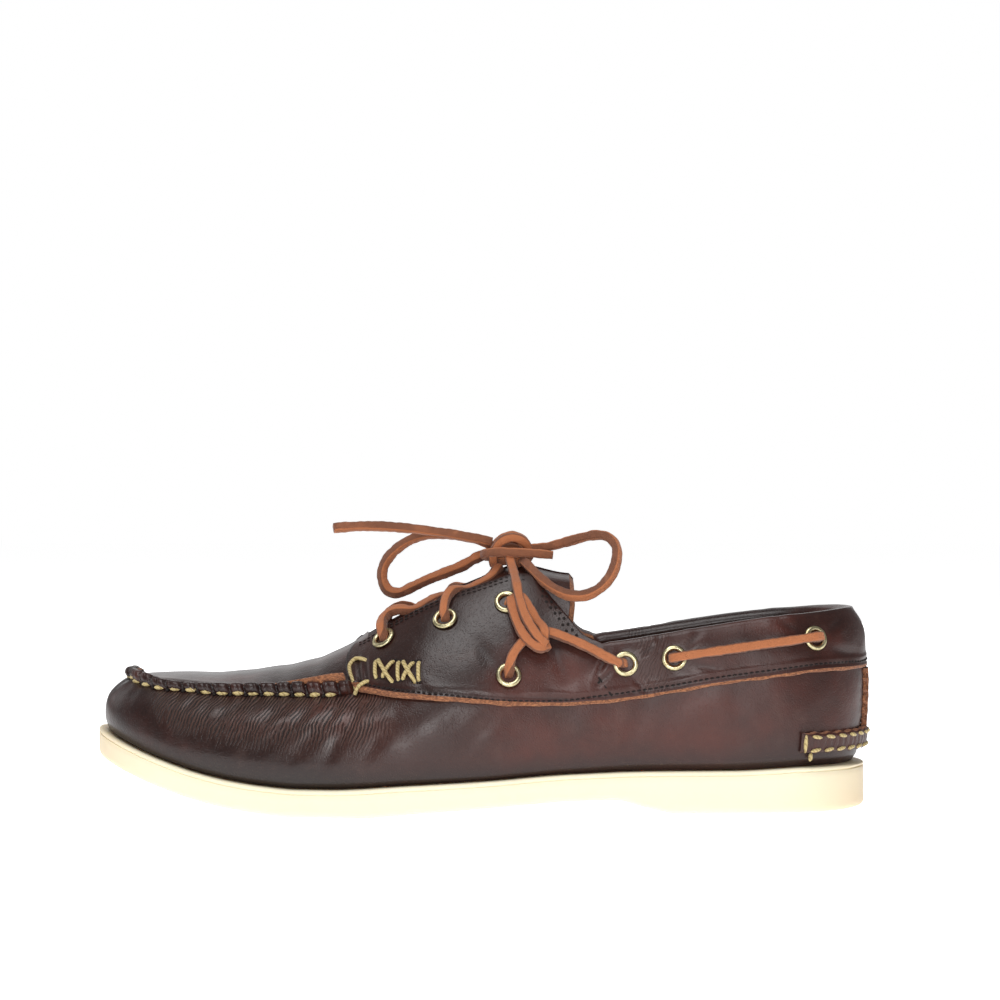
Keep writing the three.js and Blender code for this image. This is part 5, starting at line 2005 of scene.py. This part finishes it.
    def bar(self, side: int, place: EyeletPlace, rows: Rows, ends: Rows) -> bmesh.types.BMesh:
        """A strand that comes out of an eyelet, climbs the eyestay and goes over its edge.

        Args:
            side: The side of the shoe.
            place: The eyelet.
            rows: X, Z and the distance from the last of its points on the shoe.
            ends: Its last points, as for the outer side.

        Returns:
            The strand's mesh.
        """
        entry, entry_normal = self.through(side, place)
        points, normal = self.strand_on(side, rows)
        last = np.array(ends)
        if side > 0:
            last[:, 1] = 2 * LAST.middle(LAST.at_of(last[:, 0])) - last[:, 1]
        tilt = np.array([0.0, 0.25 * side, 1.0])
        facing = np.vstack([entry_normal[:2], normal, np.broadcast_to(tilt, last.shape)])
        return Strand(self.width).mesh(np.vstack([entry[:2], points, last]), facing)

    def strand_on(self, side: int, rows: Rows, lead: Array | None = None) -> tuple[Array, Array]:
        """Points and normals of a strand on the shoe.

        Args:
            side: The side of the shoe.
            rows: X, Z and the distance from the last of its points.
            lead: Points before them, or None.

        Returns:
            The points and the normals.
        """
        table = np.array(rows)
        turn, level = LAST.solve(side, LAST.at_of(table[:, 0]), table[:, 1])
        point, normal, _, _ = LAST.axes(turn, level)
        points = point + normal * table[:, 2:]
        if lead is None:
            return points, normal
        return np.vstack([lead, points]), np.vstack([np.repeat(normal[:1], len(lead), axis=0), normal])

    def tie(self, side: int) -> bmesh.types.BMesh:
        """The hitch on one side: the side strand, the one that comes down round it and the one that comes
        from the rear eyelet.

        Args:
            side: The side of the shoe.

        Returns:
            The strands' mesh.
        """
        strand = Strand(self.width)
        parts = []
        start, start_normal = self.through(side, EYELETS[3])
        end, end_normal = self.through(side, EYELETS[4])
        rows = (
            (10.2, 56.8, 5.2), (13.6, 61.4, 4.6), (16.2, 64.0, 3.8), (19.2, 64.8, 5.0), (23.4, 64.6, 5.6),
            (31.0, 62.4, 5.2), (39.0, 59.4, 4.8), (46.0, 56.4, 4.6),
        )
        points, normal = self.strand_on(side, rows)
        line = np.vstack([start[:2], points, end[1::-1]])
        parts.append(strand.mesh(line, np.vstack([start_normal[:2], normal, end_normal[1::-1]])))
        if side < 0:
            lead = np.array([[9.6, -9.6, 94.4], [10.8, -14.4, 90.0]])
        else:
            lead = np.array([[11.6, 4.6, 94.6], [12.2, 10.4, 91.0]])
        front = (
            (12.2, 80.4, 5.6), (12.9, 75.4, 6.6), (14.4, 70.2, 7.0), (16.9, 65.4, 7.6), (19.8, 61.8, 7.6),
            (22.4, 60.2, 6.2),
        )
        points, normal = self.strand_on(side, front, lead)
        parts.append(strand.mesh(points, normal))
        left = (
            (10.2, 77.0, 3.6), (10.6, 73.2, 4.4), (12.4, 67.0, 5.2), (15.4, 61.8, 6.4), (19.6, 58.9, 6.8),
            (23.4, 60.0, 4.6),
        )
        points, normal = self.strand_on(side, left)
        parts.append(strand.mesh(points, normal))
        start, start_normal = self.through(side, EYELETS[2])
        right = (
            (13.4, 77.6, 3.8), (16.4, 73.4, 4.4), (19.4, 68.6, 4.8), (21.8, 64.4, 7.2), (21.9, 61.4, 5.4),
        )
        points, normal = self.strand_on(side, right)
        parts.append(strand.mesh(np.vstack([start[:2], points]), np.vstack([start_normal[:2], normal])))
        return joined(parts)

    def build_on_shoe(self) -> None:
        """Builds the crossings, the ties and the side lace."""
        strand = Strand(self.width)
        front = ((-36.0, 65.6, 3.8), (-35.4, 68.0, 3.9), (-33.6, 70.2, 3.7), (-30.6, 71.8, 3.4))
        over = (
            (-26.4, -17.2, 74.2), (-22.0, -10.6, 76.4), (-17.5, -3.0, 78.4), (-13.6, 5.0, 78.6),
            (-10.5, 13.0, 76.4),
        )
        low = (
            (-26.0, -17.2, 73.8), (-22.8, -9.6, 75.0), (-19.0, -1.0, 76.0), (-15.6, 6.0, 75.8),
            (-13.0, 13.0, 74.4),
        )
        parts = [
            self.bar(Side.OUTER, EYELETS[0], front, over),
            self.bar(Side.INNER, EYELETS[0], front, low),
        ]
        piece(joined(parts), "rawhide_crossing", [Finish.RAWHIDE], ["lace_bar_front"])
        middle = ((-13.4, 73.6, 3.8), (-12.4, 76.6, 3.9), (-10.4, 79.2, 3.6))
        ends = ((-6.4, -17.6, 81.8), (-1.4, -13.8, 83.8), (3.0, -10.0, 86.4), (6.0, -6.6, 90.4))
        parts = [self.bar(side, EYELETS[1], middle, ends) for side in Side]
        piece(joined(parts), "rawhide_rising", [Finish.RAWHIDE], ["lace_bar_middle"])
        for side, word in ((Side.OUTER, "outer"), (Side.INNER, "inner")):
            piece(self.tie(side), f"rawhide_tie_{word}", [Finish.RAWHIDE], [f"lace_tie_{word}"])
            first, last = EYELETS[5], EYELETS[6]
            share = np.linspace(0, 1, 6)
            x = LAST.x_of(first.at + (last.at - first.at) * share)
            z = (first.up + (last.up - first.up) * share) * LAST.instep
            rows = np.column_stack([x, z, np.full(len(share), self.off)])
            bar, bar_normal = self.strand_on(side, rows)
            start, start_normal = self.through(side, first)
            end, end_normal = self.through(side, last)
            line = np.vstack([start[:2], bar, end[1::-1]])
            facing = np.vstack([start_normal[:2], bar_normal, end_normal[1::-1]])
            name = f"rawhide_side_{word}"
            piece(strand.mesh(line, facing), name, [Finish.RAWHIDE], [f"lace_side_{word}"])

    def build(self) -> None:
        """Builds the rest of the lace."""
        self.build_knot()
        self.build_on_shoe()


@dataclass(frozen=True)
class Studio:
    """The camera, the floor and the light."""

    camera_place: tuple[float, float, float] = (6.2, -1000.0, 115.6)
    lens: float = 94.25
    room: float = 0.2
    lamps: tuple[tuple[str, tuple[float, float, float], float, float], ...] = (
        ("key", (-0.1, -0.45, 1.15), 0.75, 8.2),
        ("front", (0.06, -1.35, 0.34), 0.36, 5.6),
        ("rim", (-0.9, 0.45, 0.5), 0.6, 1.0),
        ("back", (0.0, 1.3, 0.5), 1.3, 5.5),
    )

    def build_camera(self) -> None:
        """Sets the camera level, looking along +Y."""
        data = bpy.data.cameras.new("camera")
        data.lens, data.sensor_width = self.lens, 36.0
        camera = bpy.data.objects.new("camera", data)
        camera.location = Vector(self.camera_place) * MM
        camera.rotation_euler = (math.radians(90), 0, 0)
        bpy.context.scene.collection.objects.link(camera)
        bpy.context.scene.camera = camera

    def build_floor(self) -> None:
        """Lays the floor."""
        bm = bmesh.new()
        bmesh.ops.create_grid(bm, x_segments=2, y_segments=2, size=6.0)
        mesh = bpy.data.meshes.new("studio_floor")
        bm.to_mesh(mesh)
        bm.free()
        mesh.materials.append(Finish.FLOOR)
        floor = bpy.data.objects.new("studio_floor", mesh)
        bpy.context.scene.collection.objects.link(floor)

    def build_lights(self) -> None:
        """Hangs the soft lamps and lights the room a little, with a white backdrop."""
        world = bpy.data.worlds.new("studio_white")
        world.use_nodes = True
        tree = world.node_tree
        room = tree.nodes["Background"]
        room.inputs["Color"].default_value = (1.0, 1.0, 1.0, 1.0)
        room.inputs["Strength"].default_value = self.room
        backdrop = tree.nodes.new("ShaderNodeBackground")
        mixed = tree.nodes.new("ShaderNodeMixShader")
        seen = tree.nodes.new("ShaderNodeLightPath")
        tree.links.new(seen.outputs["Is Camera Ray"], mixed.inputs[0])
        tree.links.new(room.outputs[0], mixed.inputs[1])
        tree.links.new(backdrop.outputs[0], mixed.inputs[2])
        backdrop.inputs["Color"].default_value = (1.0, 1.0, 1.0, 1.0)
        tree.links.new(mixed.outputs[0], tree.nodes["World Output"].inputs[0])
        bpy.context.scene.world = world
        for name, place, size, power in self.lamps:
            data = bpy.data.lights.new(name, "AREA")
            data.size, data.energy = size, power
            light = bpy.data.objects.new(name, data)
            light.location = place
            aim = Vector((0, 0, 0.04)) - Vector(place)
            light.rotation_euler = aim.to_track_quat("-Z", "Y").to_euler()
            bpy.context.scene.collection.objects.link(light)
        bpy.context.scene.view_settings.view_transform = "Standard"

    def build(self) -> None:
        """Builds floor and light."""
        self.build_floor()
        self.build_lights()


def main() -> None:
    """Builds the shoe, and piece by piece."""
    logging.basicConfig(level=logging.INFO, format="%(message)s")
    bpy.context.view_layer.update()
    studio = Studio()
    studio.build_camera()
    lace = Lace()
    lace.build_cords()
    Outsole().build()
    Insole().build()
    Vamp().build()
    Band().build()
    Eyelets().build()
    HeelTrim().build()
    lace.build()
    studio.build()
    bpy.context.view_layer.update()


if __name__ == "__main__":
    main()
